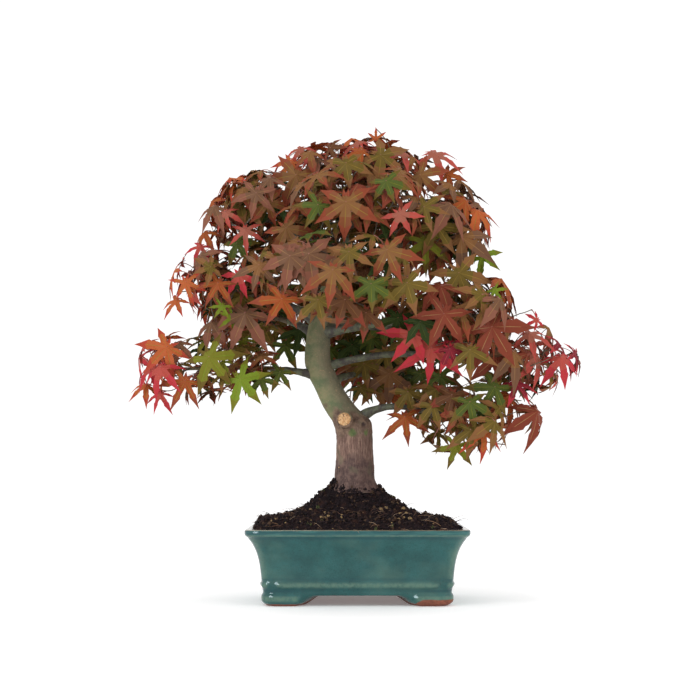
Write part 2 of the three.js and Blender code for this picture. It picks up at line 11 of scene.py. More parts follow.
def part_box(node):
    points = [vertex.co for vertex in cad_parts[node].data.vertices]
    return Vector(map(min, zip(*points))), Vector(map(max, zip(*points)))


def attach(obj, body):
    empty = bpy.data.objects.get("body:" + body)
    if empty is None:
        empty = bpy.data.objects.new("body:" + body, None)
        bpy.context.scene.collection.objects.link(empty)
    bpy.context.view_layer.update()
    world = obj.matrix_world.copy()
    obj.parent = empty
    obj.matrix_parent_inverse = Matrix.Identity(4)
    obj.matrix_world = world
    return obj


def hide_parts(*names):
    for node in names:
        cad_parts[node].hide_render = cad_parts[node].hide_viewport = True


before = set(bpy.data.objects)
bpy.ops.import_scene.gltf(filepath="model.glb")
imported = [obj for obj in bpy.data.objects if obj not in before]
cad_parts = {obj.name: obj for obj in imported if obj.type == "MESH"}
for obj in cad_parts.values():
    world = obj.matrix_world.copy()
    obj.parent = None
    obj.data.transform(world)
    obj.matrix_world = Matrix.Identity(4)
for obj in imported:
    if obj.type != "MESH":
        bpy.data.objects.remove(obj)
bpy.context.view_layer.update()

bl_info = {
    "name": "Potted Japanese Maple",
    "version": (1, 0, 0),
    "blender": (4, 5, 0),
    "location": "View3D > Sidebar > Maple",
    "description": "Builds a bonsai maple in a glazed pot, with its soil, bark, twigs and leaves",
    "category": "Object",
}

# The plant is worked out from the middle of its pot, and every finished piece is moved to this place.
POT_LOW, POT_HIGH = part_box("pot")
PLANT_PLACE = np.array(((POT_LOW.x + POT_HIGH.x) / 2, (POT_LOW.y + POT_HIGH.y) / 2, 0.0))

BODY = "root"
UP = np.array((0.0, 0.0, 1.0))
RIGHT = np.array((1.0, 0.0, 0.0))


# ---------------------------------------------------------------- small helpers


def seeded(seed):
    """A seeded stream of numbers from 0 to 1."""
    state = seed

    def draw():
        nonlocal state
        state = (state + 0x6D2B79F5) & 0xFFFFFFFF
        mixed = ((state ^ (state >> 15)) * (state | 1)) & 0xFFFFFFFF
        mixed ^= (mixed + (((mixed ^ (mixed >> 7)) * (mixed | 61)) & 0xFFFFFFFF)) & 0xFFFFFFFF
        return ((mixed ^ (mixed >> 14)) & 0xFFFFFFFF) / 4294967296

    return draw


def jitter(draw, amount):
    """A small random step, up to amount either way along each axis."""
    return np.array((draw() - 0.5, draw() - 0.5, draw() - 0.5)) * 2 * amount


def norm(vector):
    """The vector's length."""
    return float(np.linalg.norm(vector))


def unit(vector):
    """The vector at length one."""
    return vector / max(norm(vector), 1e-9)


def bell(away, spread):
    """1 where away is 0, and about a third where it is one spread."""
    return np.exp(-((away / spread) ** 2))


def turned_to(angle):
    """The cosine and sine of an angle."""
    return np.array((math.cos(angle), math.sin(angle)))


def linear(*colour):
    """A screen colour, 0 to 255 a channel, as linear light."""
    shares = [channel / 255 for channel in colour]
    return tuple(share / 12.92 if share < 0.04045 else ((share + 0.055) / 1.055) ** 2.4 for share in shares)


def shaded(colour, share, lift=0.0):
    """A colour made darker or lighter by a share, then lifted."""
    return tuple(channel * share + lift for channel in colour)


def bezier(start, bend, end, count):
    """Points along a quadratic curve."""
    t = np.linspace(0, 1, count)[:, None]
    return start * (1 - t) ** 2 + bend * 2 * t * (1 - t) + end * t**2


def runs_along(path):
    """How far along a path each of its points lies."""
    return np.concatenate(([0], np.cumsum(np.linalg.norm(np.diff(path, axis=0), axis=1))))


def smoothed(rows, step, reach):
    """A table of rows over height, resampled at an even step and softened over a reach."""
    rows = np.array(rows)
    heights = np.arange(rows[0, 0], rows[-1, 0] + step / 2, step)
    span = max(int(reach / step), 1)
    window = np.hanning(2 * span + 3)[1:-1]
    columns = [heights]
    for column in rows.T[1:]:
        values = np.interp(heights, rows[:, 0], column)
        slope_low = values[1] - values[0]
        slope_high = values[-1] - values[-2]
        before = values[0] - slope_low * np.arange(span, 0, -1)
        after = values[-1] + slope_high * np.arange(1, span + 1)
        padded = np.concatenate((before, values, after))
        columns.append(np.convolve(padded, window / window.sum(), "valid"))
    return np.array(columns).T


def curve_through(rows, spacing):
    """A smooth curve through a table's rows, as points about this far apart."""
    rows = np.array(rows)
    spans = np.linalg.norm(np.diff(rows, axis=0), axis=1)
    slopes = np.empty_like(rows)
    slopes[1:-1] = (rows[2:] - rows[:-2]) / (spans[1:] + spans[:-1])[:, None]
    slopes[0] = (rows[1] - rows[0]) / spans[0]
    slopes[-1] = (rows[-1] - rows[-2]) / spans[-1]
    points = []
    for index, span in enumerate(spans):
        for t in np.arange(0, 1, 1 / max(math.ceil(span / spacing), 1)):
            points.append(
                rows[index] * (1 - t) ** 2 * (1 + 2 * t)
                + rows[index + 1] * t**2 * (3 - 2 * t)
                + slopes[index] * span * t * (1 - t) ** 2
                - slopes[index + 1] * span * t**2 * (1 - t)
            )
    return np.array(points + [rows[-1]])


def tube(points, radii, sides):
    """A closed tapering tube along a path, as vertices and faces."""
    points = np.asarray(points, float)
    heading = np.gradient(points, axis=0)
    heading /= np.linalg.norm(heading, axis=1)[:, None]
    across = unit(np.cross(heading[0], (0.31, 0.52, 0.79)))
    rings = []
    angles = np.arange(sides) / sides * 2 * math.pi
    for place, ahead, radius in zip(points, heading, radii):
        across = unit(across - ahead * (across @ ahead))
        along = np.cross(ahead, across)
        rings.append(place + radius * (np.outer(np.cos(angles), across) + np.outer(np.sin(angles), along)))
    faces = []
    for ring in range(len(points) - 1):
        for side in range(sides):
            nearer = ring * sides + side
            further = ring * sides + (side + 1) % sides
            faces.append((nearer, further, further + sides, nearer + sides))
    last = (len(points) - 1) * sides
    faces.append(tuple(range(sides - 1, -1, -1)))
    faces.append(tuple(range(last, last + sides)))
    return np.concatenate(rings), faces


class Heap:
    """Many small shapes gathered into one mesh."""

    def __init__(self):
        self.points = []
        self.faces = []
        self.finishes = []
        self.count = 0

    def add(self, points, faces, finishes):
        """Adds a shape. Finishes is one material index, or one a face."""
        self.points.append(points)
        self.faces.extend(tuple(corner + self.count for corner in face) for face in faces)
        if isinstance(finishes, int):
            finishes = [finishes] * len(faces)
        self.finishes.extend(finishes)
        self.count += len(points)

    def piece(self, name, materials, smooth):
        """The heap as a finished piece."""
        mesh = bpy.data.meshes.new(name)
        mesh.from_pydata((np.concatenate(self.points) + PLANT_PLACE).tolist(), [], self.faces)
        mesh.polygons.foreach_set("material_index", self.finishes)
        mesh.polygons.foreach_set("use_smooth", [smooth] * len(mesh.polygons))
        return link(name, mesh, materials)


def link(name, mesh, materials):
    """An object for a mesh, riding on the plant."""
    mesh.validate()
    piece = bpy.data.objects.new(name, mesh)
    bpy.context.scene.collection.objects.link(piece)
    for material in materials:
        mesh.materials.append(material)
    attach(piece, BODY)
    return piece


def lofted(name, rings, materials):
    """A closed piece through rings of points, each ring pushed on from the last one's face."""
    count = len(rings[0])
    bm = bmesh.new()
    slot = bm.verts.layers.int.new("slot")
    made = bmesh.ops.create_circle(bm, cap_ends=True, radius=1, segments=count)
    for index, vertex in enumerate(made["verts"]):
        vertex[slot] = index
        vertex.co = rings[0][index]
    bm.faces.ensure_lookup_table()
    face = bm.faces[0]
    for number, ring in enumerate(rings[1:]):
        last = face
        grown = bmesh.ops.extrude_face_region(bm, geom=[face])["geom"]
        if number > 0:
            bmesh.ops.delete(bm, geom=[last], context="FACES_ONLY")
        for part in grown:
            if isinstance(part, bmesh.types.BMVert):
                part.co = ring[part[slot]]
            if isinstance(part, bmesh.types.BMFace):
                face = part
    bmesh.ops.recalc_face_normals(bm, faces=bm.faces)
    bmesh.ops.translate(bm, verts=bm.verts, vec=Vector(PLANT_PLACE))
    for part in bm.faces:
        part.smooth = True
    mesh = bpy.data.meshes.new(name)
    bm.to_mesh(mesh)
    bm.free()
    return link(name, mesh, materials)


def attribute(piece, name, values):
    """Stores one number for each vertex of a piece."""
    layer = piece.data.attributes.new(name, "FLOAT", "POINT")
    layer.data.foreach_set("value", np.asarray(values, np.float32))


def places(piece):
    """The piece's vertices, measured from the middle of the pot."""
    flat = np.empty(len(piece.data.vertices) * 3, np.float32)
    piece.data.vertices.foreach_get("co", flat)
    return flat.reshape(-1, 3).astype(float) - PLANT_PLACE


def capsule(along, height, half_span, middle_height, radius):
    """How far inside a bar with round ends each place lies, from 0 at its rim to 1 in its middle."""
    beyond = np.maximum(np.abs(along) - half_span + radius, 0)
    return np.clip(1 - np.hypot(beyond, height - middle_height) / radius, 0, 1)


# ---------------------------------------------------------------- material nodes


class Finish:
    """A node tree around one principled shader."""

    def __init__(self, name, colour=(0.5, 0.5, 0.5), roughness=0.5, **sockets):
        self.material = bpy.data.materials.new(name)
        self.material.use_nodes = True
        self.nodes = self.material.node_tree.nodes
        self.links = self.material.node_tree.links
        self.shader = self.nodes["Principled BSDF"]
        self.shader.inputs["Base Color"].default_value = (*colour, 1)
        self.shader.inputs["Roughness"].default_value = roughness
        for socket, value in sockets.items():
            self.shader.inputs[socket.replace("_", " ").title().replace("Ior", "IOR")].default_value = value
        self.material.diffuse_color = (*colour, 1)

    def node(self, kind, **settings):
        """A node with its settings."""
        made = self.nodes.new(kind)
        for name, value in settings.items():
            setattr(made, name, value)
        return made

    def join(self, value, socket):
        """Feeds a socket with another node's output or with a plain value."""
        if isinstance(value, bpy.types.NodeSocket):
            self.links.new(value, socket)
        elif socket.type == "RGBA":
            socket.default_value = (*value, 1)
        else:
            socket.default_value = value

    def place(self, scale=(1, 1, 1), move=(0, 0, 0)):
        """Object coordinates, stretched by scale."""
        mapping = self.node("ShaderNodeMapping")
        mapping.inputs["Scale"].default_value = scale
        mapping.inputs["Location"].default_value = move
        self.links.new(self.node("ShaderNodeTexCoord").outputs["Object"], mapping.inputs["Vector"])
        return mapping.outputs["Vector"]

    def noise(self, scale, detail=3.0, rough=0.55, stretch=(1, 1, 1), move=(0, 0, 0)):
        """Cloudy noise from 0 to 1."""
        texture = self.node("ShaderNodeTexNoise")
        texture.inputs["Scale"].default_value = scale
        texture.inputs["Detail"].default_value = detail
        texture.inputs["Roughness"].default_value = rough
        self.links.new(self.place(stretch, move), texture.inputs["Vector"])
        return texture.outputs["Fac"]

    def own(self, name):
        """A number stored on the piece's vertices."""
        return self.node("ShaderNodeAttribute", attribute_name=name).outputs["Fac"]

    def math(self, operation, first, second=0.0, clamp=False):
        """One sum on two values."""
        made = self.node("ShaderNodeMath", operation=operation, use_clamp=clamp)
        self.join(first, made.inputs[0])
        self.join(second, made.inputs[1])
        return made.outputs[0]

    def range(self, value, low, high, to_low=0.0, to_high=1.0):
        """A value stretched from one range to another, held at its ends."""
        made = self.node("ShaderNodeMapRange", interpolation_type="SMOOTHSTEP")
        self.join(value, made.inputs["Value"])
        made.inputs["From Min"].default_value = low
        made.inputs["From Max"].default_value = high
        made.inputs["To Min"].default_value = to_low
        made.inputs["To Max"].default_value = to_high
        return made.outputs["Result"]

    def mix(self, share, first, second):
        """One colour over another."""
        made = self.node("ShaderNodeMix", data_type="RGBA")
        factor, colour_a, colour_b = made.inputs[0], made.inputs[6], made.inputs[7]
        self.join(share, factor)
        self.join(first, colour_a)
        self.join(second, colour_b)
        return made.outputs[2]

    def spots(self, low, high, *cloud):
        """Noise stretched until it is 0 up to low and 1 from high on."""
        return self.range(self.noise(*cloud), low, high)

    def over(self, body, where, strength, colour):
        """A colour laid over the body where a value says, and this strongly."""
        return self.mix(self.math("MULTIPLY", where, strength), body, colour)

    def split(self):
        """Object coordinates as three numbers."""
        parts = self.node("ShaderNodeSeparateXYZ")
        self.links.new(self.place(), parts.inputs[0])
        return parts.outputs

    def near(self, point, radius, ragged=0.35):
        """1 close to a point and 0 beyond a radius, with a ragged rim."""
        far = self.node("ShaderNodeVectorMath", operation="DISTANCE")
        self.links.new(self.place(), far.inputs[0])
        far.inputs[1].default_value = tuple(np.array(point) + PLANT_PLACE)
        rim = self.math("MULTIPLY", self.noise(1.6 / radius), radius * ragged * 2)
        return self.range(self.math("ADD", far.outputs["Value"], rim), radius * 1.3, radius * 0.75)

    def relief(self, height, depth, strength):
        """Bump from a height of 0 to 1 that stands for a depth in metres."""
        bump = self.node("ShaderNodeBump")
        bump.inputs["Strength"].default_value = strength
        bump.inputs["Distance"].default_value = depth
        self.join(height, bump.inputs["Height"])
        self.links.new(bump.outputs["Normal"], self.shader.inputs["Normal"])

    def colour(self, value):
        """Feeds the shader's colour."""
        self.join(value, self.shader.inputs["Base Color"])

    def roughness(self, value):
        """Feeds the shader's roughness."""
        self.join(value, self.shader.inputs["Roughness"])


# ---------------------------------------------------------------- settings


def length(label, about, default):
    """A size in metres."""
    return bpy.props.FloatProperty(
        name=label, description=about, default=default, unit="LENGTH", precision=4
    )


def tint(label, about, *colour):
    """A colour, given as it looks on a screen."""
    return bpy.props.FloatVectorProperty(
        name=label, description=about, default=linear(*colour), subtype="COLOR", size=3, min=0, max=1
    )


LIP_HALF_LENGTH = 0.125
SIDE_INSET = 0.030
SENSOR_WIDTH = 36


class PotSettings(bpy.types.PropertyGroup):
    """Sizes and glaze of the pot."""

    height: length("Height", "Height over the feet", 0.085)
    half_length: length("Half length", "Half the length over the lip", LIP_HALF_LENGTH)
    side_inset: length("Side inset", "Half the length less half the width", SIDE_INSET)
    corner_radius: length("Corner radius", "Radius of the lip's corners in plan", 0.017)
    belt_bulge: length("Belt bulge", "How far the belt under the wall stands out", 0.0019)
    panel_bulge: length("Foot panel bulge", "How far the panel on each foot stands out", 0.0021)
    glaze: tint("Glaze", "Main colour of the glaze", 26, 81, 80)
    # Deep glaze is also the colour of the painted shade in the coves and grooves.
    deep: tint("Deep glaze", "Where the glaze has run thick", 12, 66, 72)
    # Thin glaze is also the colour of the painted highlight line under the lip.
    worn_and_highlight: tint("Thin glaze", "Where the glaze is thin over an edge", 90, 120, 104)
    clay: tint("Clay", "Bare clay under the feet", 138, 78, 56)


class SoilSettings(bpy.types.PropertyGroup):
    """Shape and make-up of the soil."""

    edge_height: length("Edge height", "Height of the soil against the pot's wall", 0.0835)
    peak_height: length("Peak height", "Height of the soil at the trunk", 0.128)
    earth: tint("Earth", "Colour of the soil", 38, 26, 28)
    crumbs: bpy.props.IntProperty(name="Crumbs", description="How many crumbs lie on the soil", default=5200)
    fibres: bpy.props.IntProperty(name="Fibres", description="How many root fibres show", default=680)
    pellets: bpy.props.IntProperty(name="Pellets", description="How many clay pellets show", default=70)


class BarkSettings(bpy.types.PropertyGroup):
    """Relief and colours of the bark."""

    furrow: length("Furrow depth", "Depth of the upright furrows low on the trunk", 0.0007)
    swelling: length("Swelling", "How far the trunk's outline wanders", 0.0011)
    low: tint("Low bark", "Old bark on the lower trunk", 150, 118, 104)
    high: tint("High bark", "Young green bark further up", 128, 130, 92)
    twig: tint("Twig bark", "Bark of the fine twigs", 74, 60, 48)
    stalk: tint("Leaf stalk", "Colour of the leaf stalks", 148, 84, 66)


class LeafSettings(bpy.types.PropertyGroup):
    """Size and shape of the leaves."""

    lobe: length("Lobe length", "Length of a leaf's middle lobe", 0.038)
    fullness: bpy.props.FloatProperty(
        name="Fullness", description="Leaves on the crown, against the usual number",
        default=1.0, min=0.1, max=2
    )
    fold: bpy.props.FloatProperty(
        name="Fold", description="How far a lobe's sides stand up from its midrib", default=0.30
    )
    droop: bpy.props.FloatProperty(
        name="Droop", description="How far a lobe bends down along its length", default=0.42, unit="ROTATION"
    )


class StageSettings(bpy.types.PropertyGroup):
    """Camera, floor and lights."""

    distance: length("Camera distance", "From the camera to the trunk", 1.750)
    camera_height: length("Camera height", "Height of the camera", 0.170)
    camera_side: length("Camera side", "How far right of the pot's middle the camera stands", -0.0083)
    focal_length: bpy.props.FloatProperty(
        name="Focal length", description=f"In millimetres on a sensor {SENSOR_WIDTH} mm wide", default=77.3
    )
    pitch: bpy.props.FloatProperty(
        name="Pitch", description="How far the camera looks up", default=math.radians(3.9), unit="ROTATION"
    )
    floor: tint("Floor", "Colour of the floor", 252, 252, 252)


# ---------------------------------------------------------------- pot

# Outlines of the wall, outside and inside, from the floor to the rim: height, half length.
POT_OUTSIDE = (
    (0.0, 0.0990), (0.0005, 0.1006), (0.0015, 0.1024), (0.0030, 0.1037), (0.0055, 0.1046),
    (0.0085, 0.1050), (0.0120, 0.1051), (0.0155, 0.1052), (0.0180, 0.1055), (0.0205, 0.1061),
    (0.0240, 0.1066), (0.0300, 0.1071), (0.0370, 0.1078), (0.0440, 0.1087), (0.0510, 0.1100),
    (0.0580, 0.1119), (0.0640, 0.1142), (0.0690, 0.1168), (0.0735, 0.1198), (0.0760, 0.1216),
    (0.0774, 0.1232), (0.0786, 0.1244), (0.0802, 0.1250), (0.0832, 0.1250), (0.0844, 0.1245),
    (0.0850, 0.1233),
)
POT_INSIDE = (
    (0.0850, 0.1185), (0.0846, 0.1176), (0.0836, 0.1171), (0.0780, 0.1155), (0.0607, 0.1034),
    (0.0460, 0.0988), (0.0247, 0.0966), (0.0187, 0.0940),
)
CORNER_TIGHTENING = 0.2
POT_FLOOR_UNDER = 0.0117
FOOT_TOP = 0.0178
FOOT_INNER_HALF = 0.085
FOOT_INNER_END = 0.0745
FOOT_TAPER = 0.0285
LONG_RUN_SLOTS = 108
SHORT_RUN_SLOTS = 82
CORNER_SLOTS = 14
BELT_HEIGHT = 0.0236
BELT_HALF_HEIGHT = 0.0046
BELT_END_GAP = 0.0010
BELT_END_TAPER = 0.35
BELT_TAPER_RUN = 0.012
KNOB_HALF_SPAN = 0.0068
PANEL_HEIGHT = 0.0082
PANEL_HALF_HEIGHT = 0.0064
PANEL_HALF_SPAN = 0.0400
LIP_UNDER_EDGE = 0.0788

# Where shade is painted into the coves and grooves: heights of the coves, how far it spreads, and where it
# starts on the feet.
LIP_FOOT = 0.0762
ABOVE_BELT = 0.0300
BELOW_BELT = 0.0172
GROOVE_SPREAD = 0.0018
COVE_SPREAD = 0.0022
FOOT_SHADE_START = 0.055
FOOT_SHADE_RUN = 0.02

SOLE_PLAN = (0.1037, 0.0737, 0.0127)
SOLE_RISE = POT_FLOOR_UNDER - 0.0004
INSIDE_RINGS = 28
PROFILE_SPACING = 0.0010
QUARTER_TURN = math.pi / 2

# Where the glaze is thin: between two heights on the wall's corners, and this far down the lip.
WORN_CORNER_LOW = 0.03
WORN_CORNER_HIGH = 0.078
WORN_LIP_OUTSIDE = 0.0009
WORN_LIP_INSIDE = 0.004


def eased(share):
    """A share from 0 to 1 that starts and ends gently."""
    return share * share * (3 - 2 * share)


def pot_plan(half_x, half_y, radius):
    """Points round a rectangle with round corners, with each one's outward heading and its distance
    along the side from the side's middle, which runs on round the corner."""
    points = []
    headings = []
    side_place = []
    corners = ((1, -1), (1, 1), (-1, 1), (-1, -1))
    runs = (SHORT_RUN_SLOTS, LONG_RUN_SLOTS, SHORT_RUN_SLOTS, LONG_RUN_SLOTS)
    for turn, ((sign_x, sign_y), run) in enumerate(zip(corners, runs)):
        centre = np.array((sign_x * (half_x - radius), sign_y * (half_y - radius)))
        for step in range(CORNER_SLOTS):
            heading = turned_to((turn - 1 + step / CORNER_SLOTS) * QUARTER_TURN)
            points.append(centre + radius * heading)
            headings.append(heading)
            side_place.append((radius * (step / CORNER_SLOTS - 0.5) * QUARTER_TURN, True))
        heading = turned_to(turn * QUARTER_TURN)
        out, reach = (half_x, half_y) if turn % 2 == 0 else (half_y, half_x)
        tangent = np.array((-heading[1], heading[0]))
        for step in range(run):
            along = (reach - radius) * (2 * step / run - 1)
            points.append(heading * out + tangent * along)
            headings.append(heading)
            side_place.append((along, False))
    return np.array(points), np.array(headings), side_place


def foot_sole(points):
    """Height of the pot's lower edge below each place of the plan: on the ground under the corners,
    and up at the floor between them."""
    inner_y = FOOT_INNER_END - bpy.context.scene.maple_pot.side_inset
    beyond_x = (np.abs(points[:, 0]) - FOOT_INNER_END + FOOT_TAPER) / FOOT_TAPER
    beyond_y = (np.abs(points[:, 1]) - inner_y + FOOT_TAPER) / FOOT_TAPER
    return SOLE_RISE * eased(1 - np.clip(np.minimum(beyond_x, beyond_y), 0, 1))


def pot_profile():
    """The pot's outline from its underside over the lip and down to its floor: height, half length and
    part. The underside has no height of its own."""
    profile = [(None, FOOT_INNER_HALF, "under"), (0.0, FOOT_INNER_HALF, "sole")]
    profile += [(height, half, "outside") for height, half in curve_through(POT_OUTSIDE, PROFILE_SPACING)]
    rows = range(len(POT_INSIDE))
    for step in np.linspace(0, rows[-1], INSIDE_RINGS):
        height, half = (np.interp(step, rows, column) for column in np.array(POT_INSIDE).T)
        profile.append((height, half, "inside"))
    return profile


def outer_relief(height, levels, run, radius, corner, along, settings):
    """How far belt, knobs and foot panels stand out round one ring, and how worn its glaze is, with a
    painted highlight under the lip.
    """
    ends = BELT_END_TAPER * np.clip((np.abs(along) - run + BELT_TAPER_RUN) / BELT_TAPER_RUN, 0, 1)
    belt_end = np.where(corner, KNOB_HALF_SPAN, run - BELT_END_GAP)
    belt = capsule(along, height, belt_end, BELT_HEIGHT, BELT_HALF_HEIGHT)
    belt = np.clip(belt - ends * ~corner, 0, 1)
    from_corner = np.where(corner, np.abs(along), run + radius * math.pi / 4 - np.abs(along))
    panel = capsule(from_corner, levels, PANEL_HALF_SPAN, PANEL_HEIGHT, PANEL_HALF_HEIGHT)
    bulge = settings.belt_bulge * np.sin(np.clip(belt * 1.25, 0, 1) * QUARTER_TURN)
    bulge += settings.panel_bulge * np.sin(np.clip(panel * 1.6, 0, 1) * QUARTER_TURN)
    worn_and_highlight = 0.75 * np.clip(belt * 1.6 - 0.25, 0, 1) + 0.75 * np.clip(panel * 2.2 - 0.7, 0, 1)
    if WORN_CORNER_LOW < height < WORN_CORNER_HIGH:
        worn_and_highlight += 0.5 * corner * bell(along, 0.0045)
    # A light line along the lip's lower edge is a painted highlight, carried with the thin glaze.
    worn_and_highlight += 0.8 * bell(height - LIP_UNDER_EDGE, 0.0008)
    if height > settings.height - WORN_LIP_OUTSIDE:
        worn_and_highlight += 0.9
    return bulge, worn_and_highlight


def pot_rings(settings):
    """Rings of the whole pot, with how thin the glaze is, a painted highlight under the lip included, and
    how high each place stands over the bare clay's edge."""
    soles = foot_sole(pot_plan(*SOLE_PLAN)[0])
    rings = []
    thin = []
    over_clay = []
    for height, half, part in pot_profile():
        radius = settings.corner_radius - (settings.half_length - half) * CORNER_TIGHTENING
        half_y = half - settings.side_inset
        points, headings, side_place = pot_plan(half, half_y, radius)
        bulge = np.zeros(len(points))
        worn_and_highlight = np.zeros(len(points))
        if part == "under":
            levels = np.full(len(points), POT_FLOOR_UNDER)
        else:
            levels = height + soles * np.clip(1 - height / FOOT_TOP, 0, 1)
        if part == "outside":
            along = np.array([place for place, corner in side_place])
            corner = np.array([corner for place, corner in side_place])
            run = np.where(np.abs(headings[:, 1]) > 0.5, half, half_y) - radius
            bulge, worn_and_highlight = outer_relief(height, levels, run, radius, corner, along, settings)
        if part == "inside" and height > settings.height - WORN_LIP_INSIDE:
            worn_and_highlight += 1.0
        ring = np.column_stack((points + headings * bulge[:, None], levels))
        rings.append(ring)
        thin.append(np.clip(worn_and_highlight, 0, 1))
        over_clay.append(clay_line(ring, part))
    return rings, thin, over_clay


# Glaze line on the feet: how high bare clay shows on the right front foot, and elsewhere.
CLAY_EDGE_RIGHT = 0.0070
CLAY_EDGE = 0.0017
CLAY_EDGE_START = 0.060
CLAY_EDGE_RUN = 0.012
FRONT_FEET = -0.06
UNGLAZED = -0.002


def clay_line(ring, part):
    """How high each place stands over the lower edge of the glaze, in metres."""
    if part in ("under", "sole"):
        return np.full(len(ring), UNGLAZED)
    right_front = (ring[:, 1] < FRONT_FEET) * (ring[:, 0] > CLAY_EDGE_START)
    share = np.clip((ring[:, 0] - CLAY_EDGE_START) / CLAY_EDGE_RUN, 0, 1)
    return ring[:, 2] - np.where(right_front, CLAY_EDGE_RIGHT * share, CLAY_EDGE)


def glaze_material(settings):
    """Glossy teal glaze, mottled, thin and olive over its edges, with bare clay below its lower edge;
    painted shade in its coves and grooves, and painted highlights under the lip and on the rim's left end.
    """
    finish = Finish("teal_glaze", settings.glaze, 0.1, specular_ior_level=0.33, coat_weight=0.15,
                    coat_roughness=0.03)
    place = finish.split()
    cloud = finish.spots(0.34, 0.68, 34, 4, 0.6)
    body = finish.mix(cloud, shaded(settings.glaze, 0.84), shaded(settings.glaze, 1.22, 0.004))
    speckle = finish.spots(0.47, 0.66, 1150, 2, 0.6)
    body = finish.over(body, speckle, 0.42, shaded(settings.glaze, 0.5))
    fleck = finish.spots(0.60, 0.70, 600, 2, 0.5)
    body = finish.over(body, fleck, 0.45, shaded(settings.glaze, 0.35))
    olive = finish.spots(0.50, 0.72, 16, 3, 0.5, (1, 1, 1.6))
    body = finish.over(body, olive, 0.30, settings.worn_and_highlight)
    runs = finish.spots(0.52, 0.72, 26, 3, 0.5, (1, 1, 0.25), (0.3, 0, 0))
    body = finish.over(body, runs, 0.30, settings.deep)
    streak = finish.spots(0.42, 0.62, 60, 4, 0.6, (0.5, 0.5, 6.0))
    lip_glaze = finish.mix(streak, linear(10, 70, 76), linear(48, 100, 98))
    body = finish.over(body, finish.range(place["Z"], LIP_FOOT, LIP_FOOT + 0.0028), 0.75, lip_glaze)
    # Painted shade in the coves and grooves, in the deep glaze colour.
    body = finish.over(body, finish.own("pooled"), 0.75, settings.deep)
    ragged = finish.math("MULTIPLY", finish.spots(0.30, 0.62, 210, 4, 0.65), 0.7)
    # The thin number also carries the painted highlight line under the lip.
    thin = finish.math("MULTIPLY", finish.own("thin"), finish.math("ADD", ragged, 0.5), True)
    worn_and_highlight = finish.math("MULTIPLY", thin, 0.9)
    body = finish.mix(worn_and_highlight, body, settings.worn_and_highlight)
    rim_height = finish.math("ADD", place["Z"], finish.math("MULTIPLY", finish.noise(240, 3), 0.0012))
    # The rim's top edge is brown where the glaze breaks, paled towards the left end as a painted highlight.
    rim_brown_and_highlight = finish.mix(finish.range(place["X"], -0.11, 0.06), linear(150, 146, 130), linear(112, 92, 74))
    body = finish.over(body, finish.range(rim_height, 0.0845, 0.0853), 0.85, rim_brown_and_highlight)
    wander = finish.math("MULTIPLY", finish.noise(120, 2), -0.0016)
    bare = finish.range(finish.math("ADD", finish.own("over_clay"), wander), 0.0002, -0.0006)
    clay = finish.mix(finish.spots(0.3, 0.7, 300, 4), settings.clay, shaded(settings.clay, 0.6))
    finish.colour(finish.mix(bare, body, clay))
    dull = finish.math("MAXIMUM", bare, finish.math("MULTIPLY", worn_and_highlight, 0.16))
    finish.roughness(finish.range(dull, 0, 1, 0.09, 0.85))
    ripple = finish.math("ADD", finish.noise(70, 3), finish.math("MULTIPLY", finish.noise(600, 2), 0.08))
    finish.relief(ripple, 0.0012, 0.60)
    return finish.material


class MAPLE_OT_pot(bpy.types.Operator):
    """Builds the glazed pot with its lip, belt and feet"""

    bl_idname = "maple.pot"
    bl_label = "Glazed Pot"

    def execute(self, context):
        settings = context.scene.maple_pot
        rings, thin, over_clay = pot_rings(settings)
        pot = lofted("glazed_pot", rings, [glaze_material(settings)])
        here = places(pot)
        ring_places = np.concatenate(rings)
        if len(here) != len(ring_places):
            raise RuntimeError("the pot's rings were not all kept")
        order = matching(here, ring_places)
        attribute(pot, "thin", np.concatenate(thin)[order])
        attribute(pot, "over_clay", np.concatenate(over_clay)[order])
        # Painted shade in the cove under the lip and the grooves above and below the belt, darkest below the
        # belt over the feet.
        aside = np.minimum(np.abs(here[:, 0]), np.abs(here[:, 1]) + settings.side_inset)
        over_foot = np.clip((aside - FOOT_SHADE_START) / FOOT_SHADE_RUN, 0, 1)
        pooled = bell(here[:, 2] - LIP_FOOT, COVE_SPREAD) * 0.8
        pooled += bell(here[:, 2] - BELOW_BELT, GROOVE_SPREAD) * (0.25 + 0.75 * over_foot)
        pooled += bell(here[:, 2] - ABOVE_BELT, GROOVE_SPREAD) * 0.5
        attribute(pot, "pooled", np.clip(pooled, 0, 1))
        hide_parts("pot")
        return {"FINISHED"}


def matching(here, wanted):
    """For each vertex of a lofted piece, which place of its rings it stands on."""

    def key(place):
        return tuple(np.round(place * 1e6).astype(int))

    known = {key(place): index for index, place in enumerate(wanted)}
    found = [known.get(key(place)) for place in here]
    for number, index in enumerate(found):
        if index is None:
            found[number] = int(np.argmin(np.abs(wanted - here[number]).sum(1)))
    return np.array(found)


# ---------------------------------------------------------------- trunk and boughs

GROUND_CUT = 0.124
ROOT_LOBES = 5
ROOT_LOBE_DEPTH = 0.09
ROOT_FLARE_HEIGHT = 0.016

